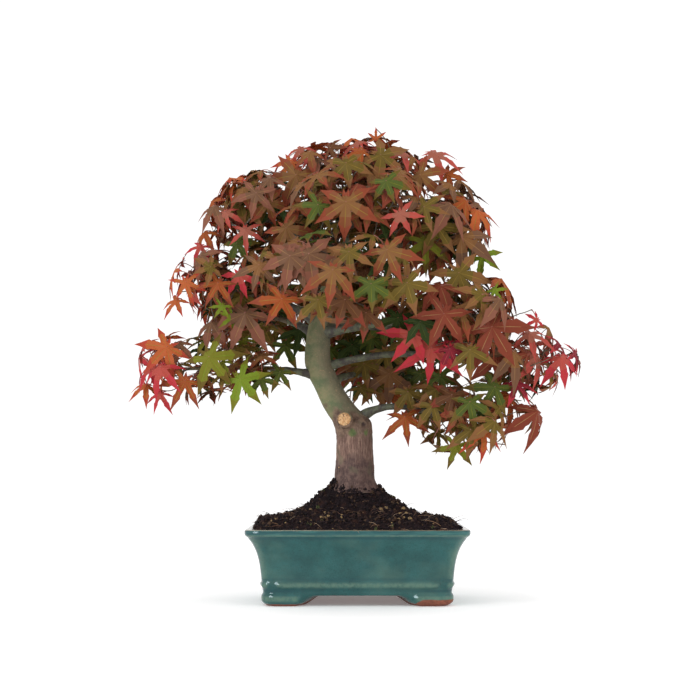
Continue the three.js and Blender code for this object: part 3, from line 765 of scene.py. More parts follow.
# Height, middle along X, middle along Y, width along X.
TRUNK_STATIONS = (
    (GROUND_CUT, -0.0010, 0, 0.0590), (0.130, -0.0020, 0, 0.0535), (0.138, -0.0030, 0, 0.0480),
    (0.150, -0.0030, 0, 0.0456), (0.170, -0.0030, 0, 0.0436), (0.184, -0.0029, 0, 0.0430),
    (0.196, -0.0034, 0, 0.0436), (0.206, -0.0059, 0, 0.0460), (0.214, -0.0128, 0, 0.0435),
    (0.222, -0.0195, 0, 0.0392), (0.232, -0.0260, 0, 0.0354), (0.246, -0.0335, 0.001, 0.0333),
    (0.260, -0.0408, 0.002, 0.0323), (0.274, -0.0453, 0.003, 0.0311), (0.290, -0.0462, 0.004, 0.0292),
    (0.306, -0.0456, 0.005, 0.0276), (0.326, -0.0430, 0.005, 0.0245), (0.350, -0.0370, 0.003, 0.0210),
    (0.376, -0.0280, 0, 0.0180), (0.402, -0.0180, -0.002, 0.0146), (0.428, -0.0080, -0.002, 0.0112),
    (0.452, 0.0020, 0, 0.0080),
)
TRUNK_SLOTS = 112
TRUNK_STEP = 0.0013
STUB_PLACE = np.array((-0.0150, -0.0262, 0.2083))
STUB_RADIUS = 0.0076
STUB_HEADING = unit(np.array((-0.10, -0.97, 0.20)))
KNOT_PLACE = np.array((0.0085, -0.020, 0.2030))
TIGHT_RING_HEIGHT = 0.1905
TIGHT_RING_DEPTH = 0.00035
TIGHT_RING_SPREAD = 0.0012
TIGHT_RING_WANDER = 0.0016
YOUNG_BARK_START = 0.205
YOUNG_BARK_RUN = 0.03
TRUNK_SOFTENING = 0.006
TIP_FADE = 0.03
TIP_RELIEF = 0.15
STUB_SLOTS = 48
STUB_PROFILE = (
    (-0.0070, 1.30), (-0.0030, 1.27), (-0.0012, 1.20), (-0.0004, 1.12), (-0.0006, 1.05),
    (-0.0008, 1.00), (0.0006, 0.96), (0.0013, 0.88), (0.0016, 0.70), (0.0017, 0.40), (0.0017, 0.15),
)
MOSS_SPOTS = (((-0.0055, -0.0215, 0.1925), 0.0064), ((0.0115, -0.018, 0.1925), 0.0058))
BARK_CHIPS = (((-0.0205, -0.0125, 0.1530), 0.0018), ((-0.0262, -0.0175, 0.2065), 0.0026))
# Middle of the painted shade below the healed cut.
SHADE_UNDER_STUB = STUB_PLACE + np.array((-0.002, 0.002, -0.003))

# Where the bark swells or dips: middle, height and spread.
SWELLINGS = (
    (STUB_PLACE - STUB_HEADING * 0.003, 0.0026, 0.0115), (KNOT_PLACE, 0.0022, 0.0075),
    (KNOT_PLACE, -0.0042, 0.0030),
)


def trunk_at(height):
    """The trunk's middle at a height."""
    heights, x, y, _ = np.array(TRUNK_STATIONS).T
    return np.array((np.interp(height, heights, x), np.interp(height, heights, y), height))


def bark_relief(place, angle, settings):
    """How far the bark stands out at a place on the trunk."""
    height = place[2]
    old = 1 - min(max((height - YOUNG_BARK_START) / YOUNG_BARK_RUN, 0), 1)
    point = Vector(place)

    def round_trunk(around, upward):
        """A place on a cylinder about the trunk, for noise that runs round it."""
        return Vector((math.cos(angle) * around, math.sin(angle) * around, upward))

    grain = round_trunk(5.2, height * 26)
    furrow = -abs(noise.noise(grain * 1.9)) * 1.5 - abs(noise.noise(grain * 4.3)) * 0.8
    plates = noise.noise(round_trunk(3.4, height * 70))
    young = 0.35 * noise.noise(point * 260) + 0.25 * noise.noise(point * 700)
    out = settings.swelling * noise.noise(point * 48)
    out += settings.furrow * (old * (furrow + 0.35 * plates) + (0.25 + 0.5 * (1 - old)) * young)
    wander = TIGHT_RING_WANDER * noise.noise(round_trunk(1.3, 4.0))
    out -= TIGHT_RING_DEPTH * bell(height - TIGHT_RING_HEIGHT - wander, TIGHT_RING_SPREAD)
    for middle, rise, spread in SWELLINGS:
        out += rise * bell(norm(place - middle), spread)
    return out


def trunk_rings(settings):
    """Rings of the trunk from the ground to its tip, with the bark's relief."""
    stations = smoothed(TRUNK_STATIONS, TRUNK_STEP, TRUNK_SOFTENING)
    angles = np.arange(TRUNK_SLOTS) / TRUNK_SLOTS * 2 * math.pi
    slopes = np.gradient(stations[:, 1], stations[:, 0])
    rings = []
    for (height, x, y, width), slope in zip(stations, slopes):
        flare = max(0, 1 - (height - GROUND_CUT) / ROOT_FLARE_HEIGHT)
        fade = max(min(1, (stations[-1, 0] - height) / TIP_FADE), TIP_RELIEF)
        ring = []
        for angle in angles:
            lobe = 1 + flare * ROOT_LOBE_DEPTH * math.cos(ROOT_LOBES * angle)
            half_x = width / 2 * lobe
            half_y = half_x / math.hypot(1, slope)
            place = np.array((x + half_x * math.cos(angle), y + half_y * math.sin(angle), height))
            place[:2] += turned_to(angle) * bark_relief(place, angle, settings) * fade
            ring.append(place)
        rings.append(np.array(ring))
    return rings


def bark_material(settings):
    """Old grooved bark below and smooth green bark above, with moss, scars and painted shade."""
    finish = Finish("maple_bark", settings.low, 0.82, specular_ior_level=0.25)
    # The side number runs from 0 on the trunk's left to 1 on its right, for painted shade down the right
    # side.
    side = finish.range(finish.own("side"), -0.9, 0.9)
    wander = finish.range(finish.noise(70, 4, 0.6), 0.2, 0.8, -0.014, 0.014)
    height = finish.math("ADD", finish.split()["Z"], wander)
    streak = finish.spots(0.36, 0.64, 760, 4, 0.7, (1, 1, 0.11))
    broad = finish.spots(0.36, 0.66, 300, 4, 0.6, (1, 1, 0.16))
    blotch = finish.spots(0.36, 0.66, 120, 4, 0.65)
    low = finish.mix(streak, linear(90, 64, 56), linear(172, 140, 122))
    low = finish.over(low, broad, 0.55, linear(120, 88, 78))
    mottled = finish.mix(blotch, linear(58, 42, 42), linear(114, 90, 82))
    mottled = finish.over(mottled, streak, 0.35, linear(150, 118, 106))
    low = finish.mix(finish.range(height, 0.170, 0.154), low, mottled)
    greenish = finish.spots(0.52, 0.68, 56, 3, 0.5, (1, 1, 1), (0.2, 0.1, 0))
    low = finish.over(low, greenish, 0.45, linear(104, 104, 78))
    # Painted shade: the lower trunk darkens towards its right side.
    low = finish.over(low, side, 0.40, linear(74, 52, 46))
    knuckle = finish.mix(blotch, linear(96, 74, 62), linear(142, 116, 96))
    low = finish.mix(finish.range(height, 0.190, 0.197), low, knuckle)
    high = finish.mix(finish.spots(0.36, 0.64, 190, 5, 0.65), settings.high, linear(142, 136, 100))
    high = finish.over(high, finish.spots(0.44, 0.66, 60, 4), 0.65, linear(82, 108, 72))
    # Painted shade: the upper trunk turns purple-grey towards its right side.
    high = finish.over(high, side, 0.60, linear(98, 84, 76))
    flecks = finish.spots(0.60, 0.70, 430, 3, 0.5, (1, 1, 2.0))
    high = finish.over(high, flecks, 0.60, linear(166, 134, 104))
    bark = finish.mix(finish.range(height, 0.206, 0.226), low, high)
    moss_green = finish.mix(blotch, linear(66, 92, 44), linear(96, 112, 62))
    moss = finish.math("MAXIMUM", *(finish.near(*spot) for spot in MOSS_SPOTS))
    bark = finish.over(bark, moss, 0.85, moss_green)
    # Painted shade: the knot's hole is painted near-black.
    bark = finish.over(bark, finish.near(KNOT_PLACE, 0.0046), 0.9, linear(36, 22, 26))
    # Painted shade below the healed cut.
    bark = finish.over(bark, finish.near(SHADE_UNDER_STUB, 0.0100, 0.5), 0.45, linear(70, 48, 44))
    chips = finish.math("MAXIMUM", *(finish.near(*spot) for spot in BARK_CHIPS))
    finish.colour(finish.mix(chips, bark, linear(206, 162, 116)))
    fine_grain = finish.math("MULTIPLY", finish.noise(900, 3), 0.5)
    finish.relief(finish.math("ADD", finish.math("MULTIPLY", streak, 0.7), fine_grain), 0.0009, 0.6)
    return finish.material


def limb_material(settings):
    """Smooth green-brown bark of the boughs."""
    finish = Finish("bough_bark", settings.high, 0.75)
    body = finish.mix(finish.spots(0.38, 0.64, 90, 4, 0.6), linear(60, 50, 42), linear(94, 98, 70))
    flecks = finish.spots(0.58, 0.70, 480, 3, 0.6)
    finish.colour(finish.over(body, flecks, 0.5, linear(126, 112, 88)))
    finish.relief(finish.noise(420, 4), 0.0008, 0.6)
    return finish.material


def wood_material():
    """End grain of a healed cut, with dark cracks."""
    finish = Finish("cut_wood", linear(214, 170, 118), 0.75, specular_ior_level=0.2)
    rings = finish.spots(0.35, 0.65, 300, 4, 0.6)
    body = finish.mix(rings, linear(196, 146, 98), linear(224, 184, 136))
    split = finish.math("ABSOLUTE", finish.math("SUBTRACT", finish.noise(300, 2, 0.5, (1, 1, 0.45)), 0.5))
    finish.colour(finish.over(body, finish.range(split, 0.030, 0.010), 0.85, linear(104, 70, 46)))
    finish.relief(rings, 0.0004, 0.5)
    return finish.material


class MAPLE_OT_trunk(bpy.types.Operator):
    """Builds the trunk with its bark, and the healed cut on its front"""

    bl_idname = "maple.trunk"
    bl_label = "Trunk"

    def execute(self, context):
        settings = context.scene.maple_bark
        bark = bark_material(settings)
        rings = trunk_rings(settings)
        trunk = lofted("trunk_bark", rings, [bark])
        order = matching(places(trunk), np.concatenate(rings))
        # The side number, from the trunk's left to its right, carries the painted shade on the right side.
        attribute(trunk, "side", np.cos(order % TRUNK_SLOTS * 2 * math.pi / TRUNK_SLOTS))
        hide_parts("trunk")
        self.cut(bark)
        return {"FINISHED"}

    def cut(self, bark):
        """The round face of a removed branch, in a rolled collar of bark."""
        across = unit(np.cross(STUB_HEADING, UP))
        along = np.cross(across, STUB_HEADING)
        rings = []
        for out, share in STUB_PROFILE:
            ring = []
            for angle in np.arange(STUB_SLOTS) / STUB_SLOTS * 2 * math.pi:
                x, y = turned_to(angle)
                rough = 1 + 0.05 * noise.noise(Vector((x * 1.6, y * 1.6, share * 2)))
                lift = out + 0.0005 * noise.noise(Vector((x * 3, y * 3, share * 6)))
                radius = STUB_RADIUS * share * rough
                ring.append(STUB_PLACE + STUB_HEADING * lift + radius * (across * x + along * y))
            rings.append(np.array(ring))
        stub = lofted("healed_cut", rings, [bark, wood_material()])
        for face in stub.data.polygons:
            centre = np.array(face.center) - PLANT_PLACE - STUB_PLACE
            out = centre @ STUB_HEADING
            inside_rim = norm(centre - STUB_HEADING * out) < STUB_RADIUS * 0.99
            face.material_index = int(inside_rim and out > -0.001)
        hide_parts("trunk")


# ---------------------------------------------------------------- growth of the crown

CROWN_MIDDLE = np.array((0.0, 0.0, 0.300))
GAP = 0.0003
STEM_REACH = 1.3
STEM_BEND = 0.6
TWIG_BASE_RADIUS = 0.0019
TWIG_TIP_RADIUS = 0.0009
TWIG_KEEPS_OUT = 0.7
TWIG_BUDS = (0.30, 0.46, 0.62, 0.78, 0.94)
TWIG_JITTER = 0.005
TWIG_OVER_BUD = 0.9
TWIG_TRIES = 9
BUD_CHOICES = 3
TWIG_SHORTEST = 0.012
WAY_BACK = 0.3
SPACE_REACH = 1.09
SPACE_SLACK = 0.45
DIRECTION_JITTER = 0.15
LOWEST_LEAF = 0.151
LOWEST_TWIG = LOWEST_LEAF + 0.02
FIRST_SEED = 101
SEED_STEP = 7
FACE_OUT_OF_MASS = 0.6
FACE_LEVEL = 0.5
FACE_UP = 0.85
FACE_JITTER = 0.44
LOBE_FALL = 0.8
LOBE_JITTER = 0.45
STALK_UNDER = 0.15
STALK_CLEAR = 0.4
STALK_BEHIND = 0.7
PETIOLE_LONGEST = 0.055
PETIOLE_SHORTEST = 0.009
LEAF_TURN = 0.5
BOUGH_TIP_SHARE = 0.62
BOUGH_POINTS = 24
BOUGH_SIDES = 20
BOUGH_ROOT = 0.45
BOUGH_SWELL = 0.35
BOUGH_SWELL_RUN = 0.009
BOUGH_ROUGHNESS = 0.0006
BOUGH_GRAIN = 160
UP_APART = Vector((0, 0, 37.7))
SHOOT_SWING = 0.6
TWIG_CROOK = 0.07
STALK_CROOK = 0.05
STEM_POINTS = 10
TWIG_POINTS = 5
FINE_BASE_RADIUS = 0.0011
FINE_TIP_RADIUS = 0.0006

# Main twigs and finer ones: how far out they end, their number against the mass's leaves, and their
# radii at base and tip.
TWIG_LAYERS = (
    (0.55, 0.24, TWIG_BASE_RADIUS, TWIG_TIP_RADIUS),
    (0.76, 0.85, FINE_BASE_RADIUS, FINE_TIP_RADIUS),
)

# Layers of leaves: how far out they stand, and their number against the mass's leaves.
LEAF_LAYERS = ((0.95, 1.60), (0.78, 1.10), (0.56, 0.75))
INNER_DEPTH = 0.80
# Of the inner kinds, deep is a darker green that paints shade inside the crown.
INNER_KINDS = ("olive", "brown", "green", "bronze", "deep", "rust")
RIM_FROM = 0.42
LEAF_TRIES = 34
LEAF_SIZE_SPREAD = 0.26
LEAF_SHUT = 0.5


class Mass:
    """One mass of the crown: its middle and radii, the leaves of one layer and their kinds, dealt out
    spray by spray, with kinds of their own on the rim furthest from the trunk. Its bough leaves the
    trunk at the height `rises`, heads for `by` and ends at `to`, where the mass's own stem goes on."""

    def __init__(self, name, at, radii, leaves, kinds, rim=None, rises=None, by=None, to=None, radius=None,
                 size=1.0):
        self.name = name
        self.middle = np.array(at, float)
        self.radii = np.array(radii, float)
        self.leaves = leaves
        self.kinds = kinds.split()
        self.rim_kinds = (rim or kinds).split()
        self.size = size
        self.radius = radius
        self.rises = rises
        self.bough = None
        if to is None:
            self.heading = UP
            self.foot = trunk_at(TRUNK_STATIONS[-1][0])
            self.stem_radius = TRUNK_STATIONS[-1][3] / 2
        else:
            self.foot = np.array(to)
            self.heading = unit(self.foot - by)
            self.stem_radius = radius * BOUGH_TIP_SHARE
            self.bough = bezier(trunk_at(rises), np.array(by), self.foot, BOUGH_POINTS)


MASSES = (
    Mass("crown_top", (-0.002, 0, 0.491), (0.098, 0.09, 0.05), 34,
         "bronze brown mauve bronze rust olive dark", rim="rose orange rust bronze tan"),
    Mass("left_upper", (-0.108, -0.015, 0.448), (0.082, 0.085, 0.062), 29,
         "bronze mauve tan rust bronze olive dusk", rim="mauve rose rust orange bronze",
         rises=0.398, by=(-0.038, -0.002, 0.418), to=(-0.06, -0.006, 0.422), radius=0.0050),
    Mass("right_upper", (0.098, 0, 0.432), (0.07, 0.085, 0.066), 29,
         "bronze tan olive dusk brown bronze olive", rim="mauve rust bronze orange dusk",
         rises=0.388, by=(0.01, 0, 0.404), to=(0.044, 0, 0.412), radius=0.0052),
    Mass("front_upper", (0, -0.098, 0.44), (0.092, 0.062, 0.056), 26,
         "bronze olive brown dusk dark bronze",
         rises=0.416, by=(-0.01, -0.024, 0.428), to=(-0.008, -0.046, 0.43), radius=0.0044),
    Mass("rear_upper", (0, 0.1, 0.42), (0.088, 0.062, 0.062), 26,
         "bronze mauve olive tan rust brown", rim="rose rust mauve orange",
         rises=0.408, by=(-0.014, 0.02, 0.414), to=(-0.01, 0.044, 0.414), radius=0.0046),
    Mass("front_middle", (-0.025, -0.122, 0.36), (0.1, 0.068, 0.056), 26,
         "olive tan bronze green dusk tan",
         rises=0.336, by=(-0.038, -0.03, 0.35), to=(-0.03, -0.066, 0.352), radius=0.0058),
    Mass("left_middle", (-0.144, -0.03, 0.36), (0.076, 0.08, 0.052), 29,
         "mauve bronze rust olive tan dusk rose", rim="orange rust crimson mauve rose",
         rises=0.32, by=(-0.066, -0.004, 0.338), to=(-0.092, -0.014, 0.344), radius=0.0060),
    Mass("rear_middle", (0, 0.124, 0.345), (0.1, 0.068, 0.058), 26,
         "olive bronze green rust mauve tan", rim="rust rose orange bronze",
         rises=0.35, by=(-0.026, 0.03, 0.352), to=(-0.014, 0.066, 0.348), radius=0.0056),
    Mass("rear_left", (-0.125, 0.108, 0.342), (0.085, 0.068, 0.052), 26,
         "bronze rose olive orange green mauve", rim="orange rose crimson rust",
         rises=0.304, by=(-0.062, 0.032, 0.32), to=(-0.082, 0.06, 0.328), radius=0.0060),
    Mass("rear_right", (0.118, 0.108, 0.32), (0.082, 0.068, 0.056), 26,
         "dark bronze olive mauve rust green", rim="crimson rose dark orange",
         rises=0.326, by=(0, 0.036, 0.322), to=(0.052, 0.066, 0.318), radius=0.0060),
    Mass("front_right", (0.118, -0.075, 0.322), (0.08, 0.07, 0.054), 29,
         "dark tan bronze dusk rust crimson",
         rises=0.308, by=(0.006, -0.022, 0.318), to=(0.056, -0.042, 0.32), radius=0.0060),
    Mass("far_right", (0.192, -0.008, 0.274), (0.072, 0.076, 0.048), 13,
         "dark bronze olive rose bronze dark", rim="crimson rose dark wine rose",
         rises=0.266, by=(0.024, 0.006, 0.296), to=(0.134, -0.004, 0.278), radius=0.0046, size=0.86),
    Mass("rear_low", (0.025, 0.112, 0.266), (0.086, 0.066, 0.05), 29,
         "rust olive orange green bronze tan", rim="lime olive rust green",
         rises=0.246, by=(-0.02, 0.032, 0.262), to=(0.002, 0.062, 0.264), radius=0.0052),
    Mass("low_right", (0.13, -0.012, 0.212), (0.092, 0.078, 0.054), 15,
         "tan bronze dusk rust tan olive", rim="rust tan dark orange olive",
         rises=0.202, by=(0.02, 0, 0.23), to=(0.062, -0.006, 0.221), radius=0.0052, size=0.86),
    Mass("low_left", (-0.176, -0.02, 0.266), (0.098, 0.076, 0.048), 17,
         "rust olive green lime_bronze bronze lime", rim="orange crimson rust orange rose",
         rises=0.258, by=(-0.072, -0.001, 0.266), to=(-0.096, -0.006, 0.267), radius=0.0048, size=0.86),
)
MASS_MIDDLES = np.array([mass.middle for mass in MASSES])
MASS_RADII = np.array([mass.radii for mass in MASSES])

# Leaves that show one by one from the front. A row gives where a leaf's heart stands in the camera's
# view, VIEW_SIZE pixels wide, which way its middle lobe points there, in degrees from straight down
# towards the right, that lobe's length in pixels, how far the leaf's face is tipped up and how far it is
# rolled about its middle lobe, in degrees, how far its lobes hang shut, in degrees, and its kind.
VIEW_SIZE = 700
PICKED_LEAVES = (
    (346, 202, 0, 39, 8, 0, 4, "bronze"), (381, 155, 62, 36, 12, 45, 8, "tan"),
    (346, 163, 12, 28, 24, 0, 8, "olive"), (296, 175, -22, 34, 15, -8, 10, "bronze"),
    (349, 252, 6, 31, 14, 0, 6, "tan"), (286, 228, 28, 35, 8, -5, 4, "bronze"),
    (290, 256, -10, 37, 12, -8, 14, "mauve"), (309, 254, 12, 44, 14, 4, 20, "mauve"),
    (256, 193, -16, 26, 14, -15, 8, "mauve"), (245, 230, 3, 23, 24, -10, 12, "rose"),
    (225, 212, 5, 20, 40, -20, 25, "rose"), (214, 206, -52, 27, 30, -55, 25, "mauve"),
    (204, 232, -40, 24, 25, -60, 25, "rust"), (186, 282, 12, 24, 10, -15, 6, "orange"),
    (176, 300, -45, 20, 20, -50, 15, "orange"), (218, 283, -32, 25, 15, -20, 12, "rust"),
    (239, 275, 14, 25, 20, -10, 15, "crimson"), (200, 246, -35, 18, 35, -30, 20, "crimson"),
    (211, 267, -70, 20, 15, -15, 8, "tan"), (282, 299, -28, 31, 15, 0, 10, "rust"),
    (245, 313, -30, 42, 18, -20, 22, "mauve"), (333, 270, -8, 35, 30, 0, 16, "bronze"),
    (259, 265, -15, 27, 15, -10, 8, "dusk"), (237, 243, 35, 21, 20, 0, 5, "green"),
    (318, 300, 10, 29, 18, 0, 8, "olive"), (345, 300, -14, 30, 18, 0, 10, "brown"),
    (371, 284, 0, 30, 16, 0, 6, "green"), (167, 347, -45, 36, 8, -12, 8, "orange"),
    (160, 367, -28, 32, 24, -40, 24, "crimson"), (150, 366, -52, 28, 24, -60, 24, "crimson"),
    (185, 381, -30, 31, 10, -8, 6, "rust"), (146, 384, -66, 24, 22, -52, 26, "orange"),
    (160, 393, -38, 21, 20, -40, 24, "crimson"), (209, 357, 38, 38, 10, -6, 12, "lime_bronze"),
    (240, 379, 42, 31, 12, 0, 6, "lime"), (261, 379, 18, 19, 25, 0, 6, "green"),
    (211, 322, -40, 30, 30, -50, 26, "mauve"), (178, 343, -22, 24, 35, -30, 28, "mauve"),
    (222, 306, -30, 15, 10, 0, 4, "lime"), (232, 317, -50, 16, 15, 0, 4, "lime"),
    (285, 345, 22, 26, 15, 0, 8, "green"), (280, 372, -25, 21, 20, 0, 8, "green"),
    (300, 330, -12, 27, 15, 0, 8, "deep"), (400, 214, 29, 26, 12, 4, 6, "rose"),
    (437, 226, 31, 35, 12, 8, 8, "olive"), (461, 237, 62, 38, 25, 25, 18, "dusk"),
    (425, 241, 5, 35, 14, 4, 10, "lime_bronze"), (420, 175, 48, 31, 16, 12, 12, "bronze"),
    (447, 174, 78, 21, 20, 35, 10, "rust"), (424, 207, 80, 24, 18, 20, 10, "olive"),
    (387, 250, 28, 35, 14, 4, 12, "bronze"), (459, 273, 27, 38, 14, 14, 12, "tan"),
    (451, 204, 42, 40, 25, 58, 26, "mauve"), (466, 200, 24, 36, 25, 58, 26, "rust"),
    (477, 210, 58, 34, 20, 62, 22, "orange"), (500, 299, 35, 32, 20, 58, 26, "mauve"),
    (482, 256, 56, 23, 15, 20, 8, "lime"), (494, 290, 40, 15, 10, 10, 4, "lime"),
    (375, 285, -4, 27, 14, 0, 6, "green"), (407, 283, 20, 31, 16, 4, 10, "olive"),
    (444, 314, -25, 38, 8, 2, 8, "dark"), (492, 327, 36, 43, 10, 10, 12, "dark"),
    (414, 334, -36, 36, 14, 0, 22, "crimson"), (432, 348, -3, 39, 8, 3, 14, "crimson"),
    (450, 349, 25, 24, 15, 6, 16, "wine"), (389, 374, 0, 36, 8, 0, 6, "dusk"),
    (440, 376, 10, 25, 15, 0, 8, "green"), (496, 358, 10, 31, 12, 8, 12, "dark"),
    (495, 387, -30, 30, 12, 5, 8, "green"), (514, 352, 27, 38, 25, 45, 28, "dusk"),
    (529, 333, 80, 32, 15, 58, 16, "rose"), (537, 320, -60, 12, 20, 10, 6, "crimson"),
    (561, 357, 24, 34, 24, 20, 40, "crimson"), (538, 355, 30, 36, 20, 60, 30, "rose"),
    (517, 383, 45, 26, 20, 45, 20, "wine"), (510, 395, 23, 34, 25, 58, 26, "rust"),
    (538, 411, 14, 42, 18, 50, 30, "dark"), (484, 430, 21, 30, 25, 40, 26, "orange"),
    (495, 421, 16, 34, 25, 50, 26, "tan"), (456, 446, -16, 25, 10, 4, 8, "lime_bronze"),
    (405, 417, 8, 30, 22, 0, 22, "rust"), (471, 430, 5, 27, 20, 20, 20, "olive"),
    (433, 405, 20, 26, 20, 4, 16, "olive"), (376, 139, 178, 12, 0, 0, 4, "orange"),
    (362, 150, -80, 25, 30, -50, 16, "rust"), (434, 153, 76, 34, 12, 62, 14, "rose"),
    (300, 148, -45, 20, 30, -50, 20, "rose"), (291, 162, -40, 20, 25, -30, 12, "orange"),
    (330, 148, 105, 17, 30, 40, 10, "brown"), (310, 152, -60, 24, 25, -55, 16, "bronze"),
    (270, 178, -62, 26, 25, -55, 18, "mauve"), (244, 188, -58, 25, 25, -58, 20, "bronze"),
    (405, 348, 8, 25, 18, 0, 10, "deep"), (420, 322, 20, 25, 18, 0, 10, "deep"),
    (398, 318, -15, 25, 18, 0, 10, "deep"), (372, 338, -8, 25, 20, 0, 10, "green"),
    (352, 345, 15, 23, 20, 0, 10, "deep"), (330, 350, -5, 25, 20, 0, 10, "green"),
    (386, 181, 20, 24, 18, 0, 8, "green"), (318, 205, -30, 25, 22, 0, 8, "green"),
    (408, 392, 15, 26, 18, 0, 14, "olive"), (452, 395, -12, 27, 18, 0, 14, "brown"),
    (470, 350, 4, 28, 16, 0, 12, "olive"), (470, 402, 12, 26, 18, 8, 14, "green"),
    (364, 364, 12, 25, 20, 0, 8, "olive"), (376, 384, 18, 24, 20, 0, 10, "tan"),
    (393, 393, 10, 22, 20, 4, 12, "rust"), (361, 388, 24, 18, 20, 0, 8, "olive"),
    (386, 353, 8, 26, 16, 0, 8, "olive"), (421, 374, 15, 27, 14, 0, 10, "green"),
    (384, 324, 5, 26, 16, 0, 8, "green"), (403, 340, 12, 26, 16, 0, 8, "olive"),
    (366, 313, -8, 27, 18, 0, 8, "brown"),
)

# The crown's outline in the same view, in pixels: how far down a row lies, with its left and right end,
# and how far down the leaves hang at a place across.
CROWN_SIDES = (
    (120, 345, 385), (135, 330, 398), (147, 287, 425), (160, 268, 456), (172, 250, 468), (185, 226, 472),
    (200, 206, 484), (220, 198, 500), (245, 190, 492), (270, 177, 502), (297, 154, 514), (315, 192, 526),
    (327, 178, 546), (339, 155, 566), (352, 136, 577), (375, 128, 586), (400, 140, 586),
)
CROWN_FOOT = (
    (118, 393), (150, 396), (180, 404), (240, 397), (275, 385), (300, 383), (318, 396), (376, 398),
    (386, 432), (418, 438), (430, 448), (454, 468), (470, 456), (502, 455), (512, 416), (526, 414),
    (540, 446), (552, 440), (560, 388), (590, 378),
)
OUTLINE_SLACK = 3
PICKED_DEPTH = 0.96
PICKED_SHIFTS = (0, -0.005, 0.006, -0.010, 0.012, -0.015, 0.018, 0.024)
PICKED_STALK_BACK = 0.016
PICKED_STALK_UP = 0.012
PICKED_OPEN_REACH = 0.33
PICKED_FULL_SHOW = 0.9
PICKED_LOW = -0.001
PICKED_HIGH = 0.09
DEPTH_SPREAD = 0.25
KIND_STEP = 3
KIND_SPREAD = 1.6
BUD_STAYS_FREE = 0.5


def depths(points):
    """How far out of each mass's middle each point lies: 1 on the mass's own surface."""
    return np.linalg.norm((points[:, None, :] - MASS_MIDDLES) / MASS_RADII, axis=2)


def place_in(index, direction, depth):
    """The place in a mass that lies this deep in this direction."""
    return MASS_MIDDLES[index] + MASS_RADII[index] * direction * depth


def even_directions(count, draw):
    """Even directions over a sphere, each one turned a little."""
    golden = math.pi * (3 - math.sqrt(5))
    turn = draw() * 2 * math.pi
    directions = []
    for index in range(count):
        height = 1 - 2 * (index + 0.5) / count
        ring = math.sqrt(1 - height * height)
        angle = turn + golden * index
        direction = np.array((ring * math.cos(angle), ring * math.sin(angle), height))
        directions.append(unit(direction + jitter(draw, DIRECTION_JITTER)))
    return directions


class Twig:
    """A stem or twig: its path, its radii and how far along the growth it starts."""

    def __init__(self, path, base, tip, start, spray):
        self.path = path
        self.radii = np.linspace(base, tip, len(path))
        self.start = start
        self.spray = spray


class Spray:
    """The twigs of one mass, with the buds that are still free."""

    def __init__(self):
        self.twigs = []
        self.places = np.zeros((0, 3))
        self.ways = np.zeros(0)
        self.free = np.zeros(0, bool)
        self.owners = []

    def add(self, twig):
        """Takes in a twig and its buds."""
        self.twigs.append(twig)
        runs = runs_along(twig.path)
        shares = np.array(TWIG_BUDS) * runs[-1]
        buds = np.column_stack([np.interp(shares, runs, twig.path[:, axis]) for axis in range(3)])
        self.places = np.vstack((self.places, buds))
        self.ways = np.concatenate((self.ways, twig.start + shares))
        self.free = np.concatenate((self.free, np.ones(len(buds), bool)))
        radii = np.interp(shares, runs, twig.radii)
        heading = unit(twig.path[-1] - twig.path[0])
        self.owners.extend((twig, radius, heading) for radius in radii)

    def nearest(self, place, skipped):
        """The nearest free bud, with a long way back to the stem counting against it."""
        cost = np.linalg.norm(self.places - place, axis=1) + WAY_BACK * self.ways
        cost = np.where(self.free, cost, np.inf)
        order = np.argsort(cost, kind="stable")
        return int(order[min(skipped, len(order) - 1)])

    def shoot(self, bud, end, thick, thin, draw):
        """Grows a twig from a bud, which leaves along its bearer and swings towards its end."""
        _, radius, heading = self.owners[bud]
        start = self.places[bud]
        run = norm(end - start)
        sets_out = unit(end - start) * SHOOT_SWING + heading * (1 - SHOOT_SWING)
        bend = start + sets_out * run * 0.5 + jitter(draw, TWIG_CROOK * run)
        self.free[bud] = False
        base = min(thick, radius * TWIG_OVER_BUD)
        path = bezier(start, bend, end, TWIG_POINTS)
        self.add(Twig(path, base, thin, float(self.ways[bud]), len(self.twigs)))


def grow_mass(mass, index):
    """The stem, twigs and finer twigs of one mass."""
    draw = seeded(FIRST_SEED + SEED_STEP * index)
    bend = mass.foot + mass.heading * STEM_BEND * norm(mass.middle - mass.foot)
    end = mass.foot + (mass.middle - mass.foot) * STEM_REACH
    stem = bezier(mass.foot - mass.heading * GAP, bend, end, STEM_POINTS)
    crown = Spray()
    crown.add(Twig(stem, mass.stem_radius, TWIG_BASE_RADIUS, 0.0, 0))
    for depth, share, thick, thin in TWIG_LAYERS:
        directions = even_directions(round(mass.leaves * share), draw)
        tips = np.array([place_in(index, direction, depth) for direction in directions])
        others = np.delete(depths(tips), index, axis=1)
        tips = tips[others.min(axis=1) > TWIG_KEEPS_OUT]
        for tip in sorted(tips, key=lambda tip: norm(tip - mass.middle)):
            for attempt in range(TWIG_TRIES):
                bud = crown.nearest(tip, attempt % BUD_CHOICES)
                end = tip + jitter(draw, TWIG_JITTER)
                if norm(crown.places[bud] - end) > TWIG_SHORTEST and end[2] > LOWEST_TWIG:
                    crown.shoot(bud, end, thick, thin, draw)
                    break
    return crown


# Lobes of a leaf, from the middle one round: degrees off the middle and share of its length.
LOBES = ((0, 1.0), (57, 1.04), (116, 0.78), (162, 0.34), (-162, 0.34), (-116, 0.78), (-57, 1.04))
OUTLINE_ANGLES = (0, 10, 28, 47, 57, 67, 87, 106, 116, 126, 142, 162, 180)
OUTLINE_REACH = (1.0, 0.60, 0.26, 0.60, 1.04, 0.60, 0.24, 0.48, 0.78, 0.45, 0.20, 0.34, 0.05)
TIPS_FALL = 0.10
SHUT_TIPS_FALL = 0.6


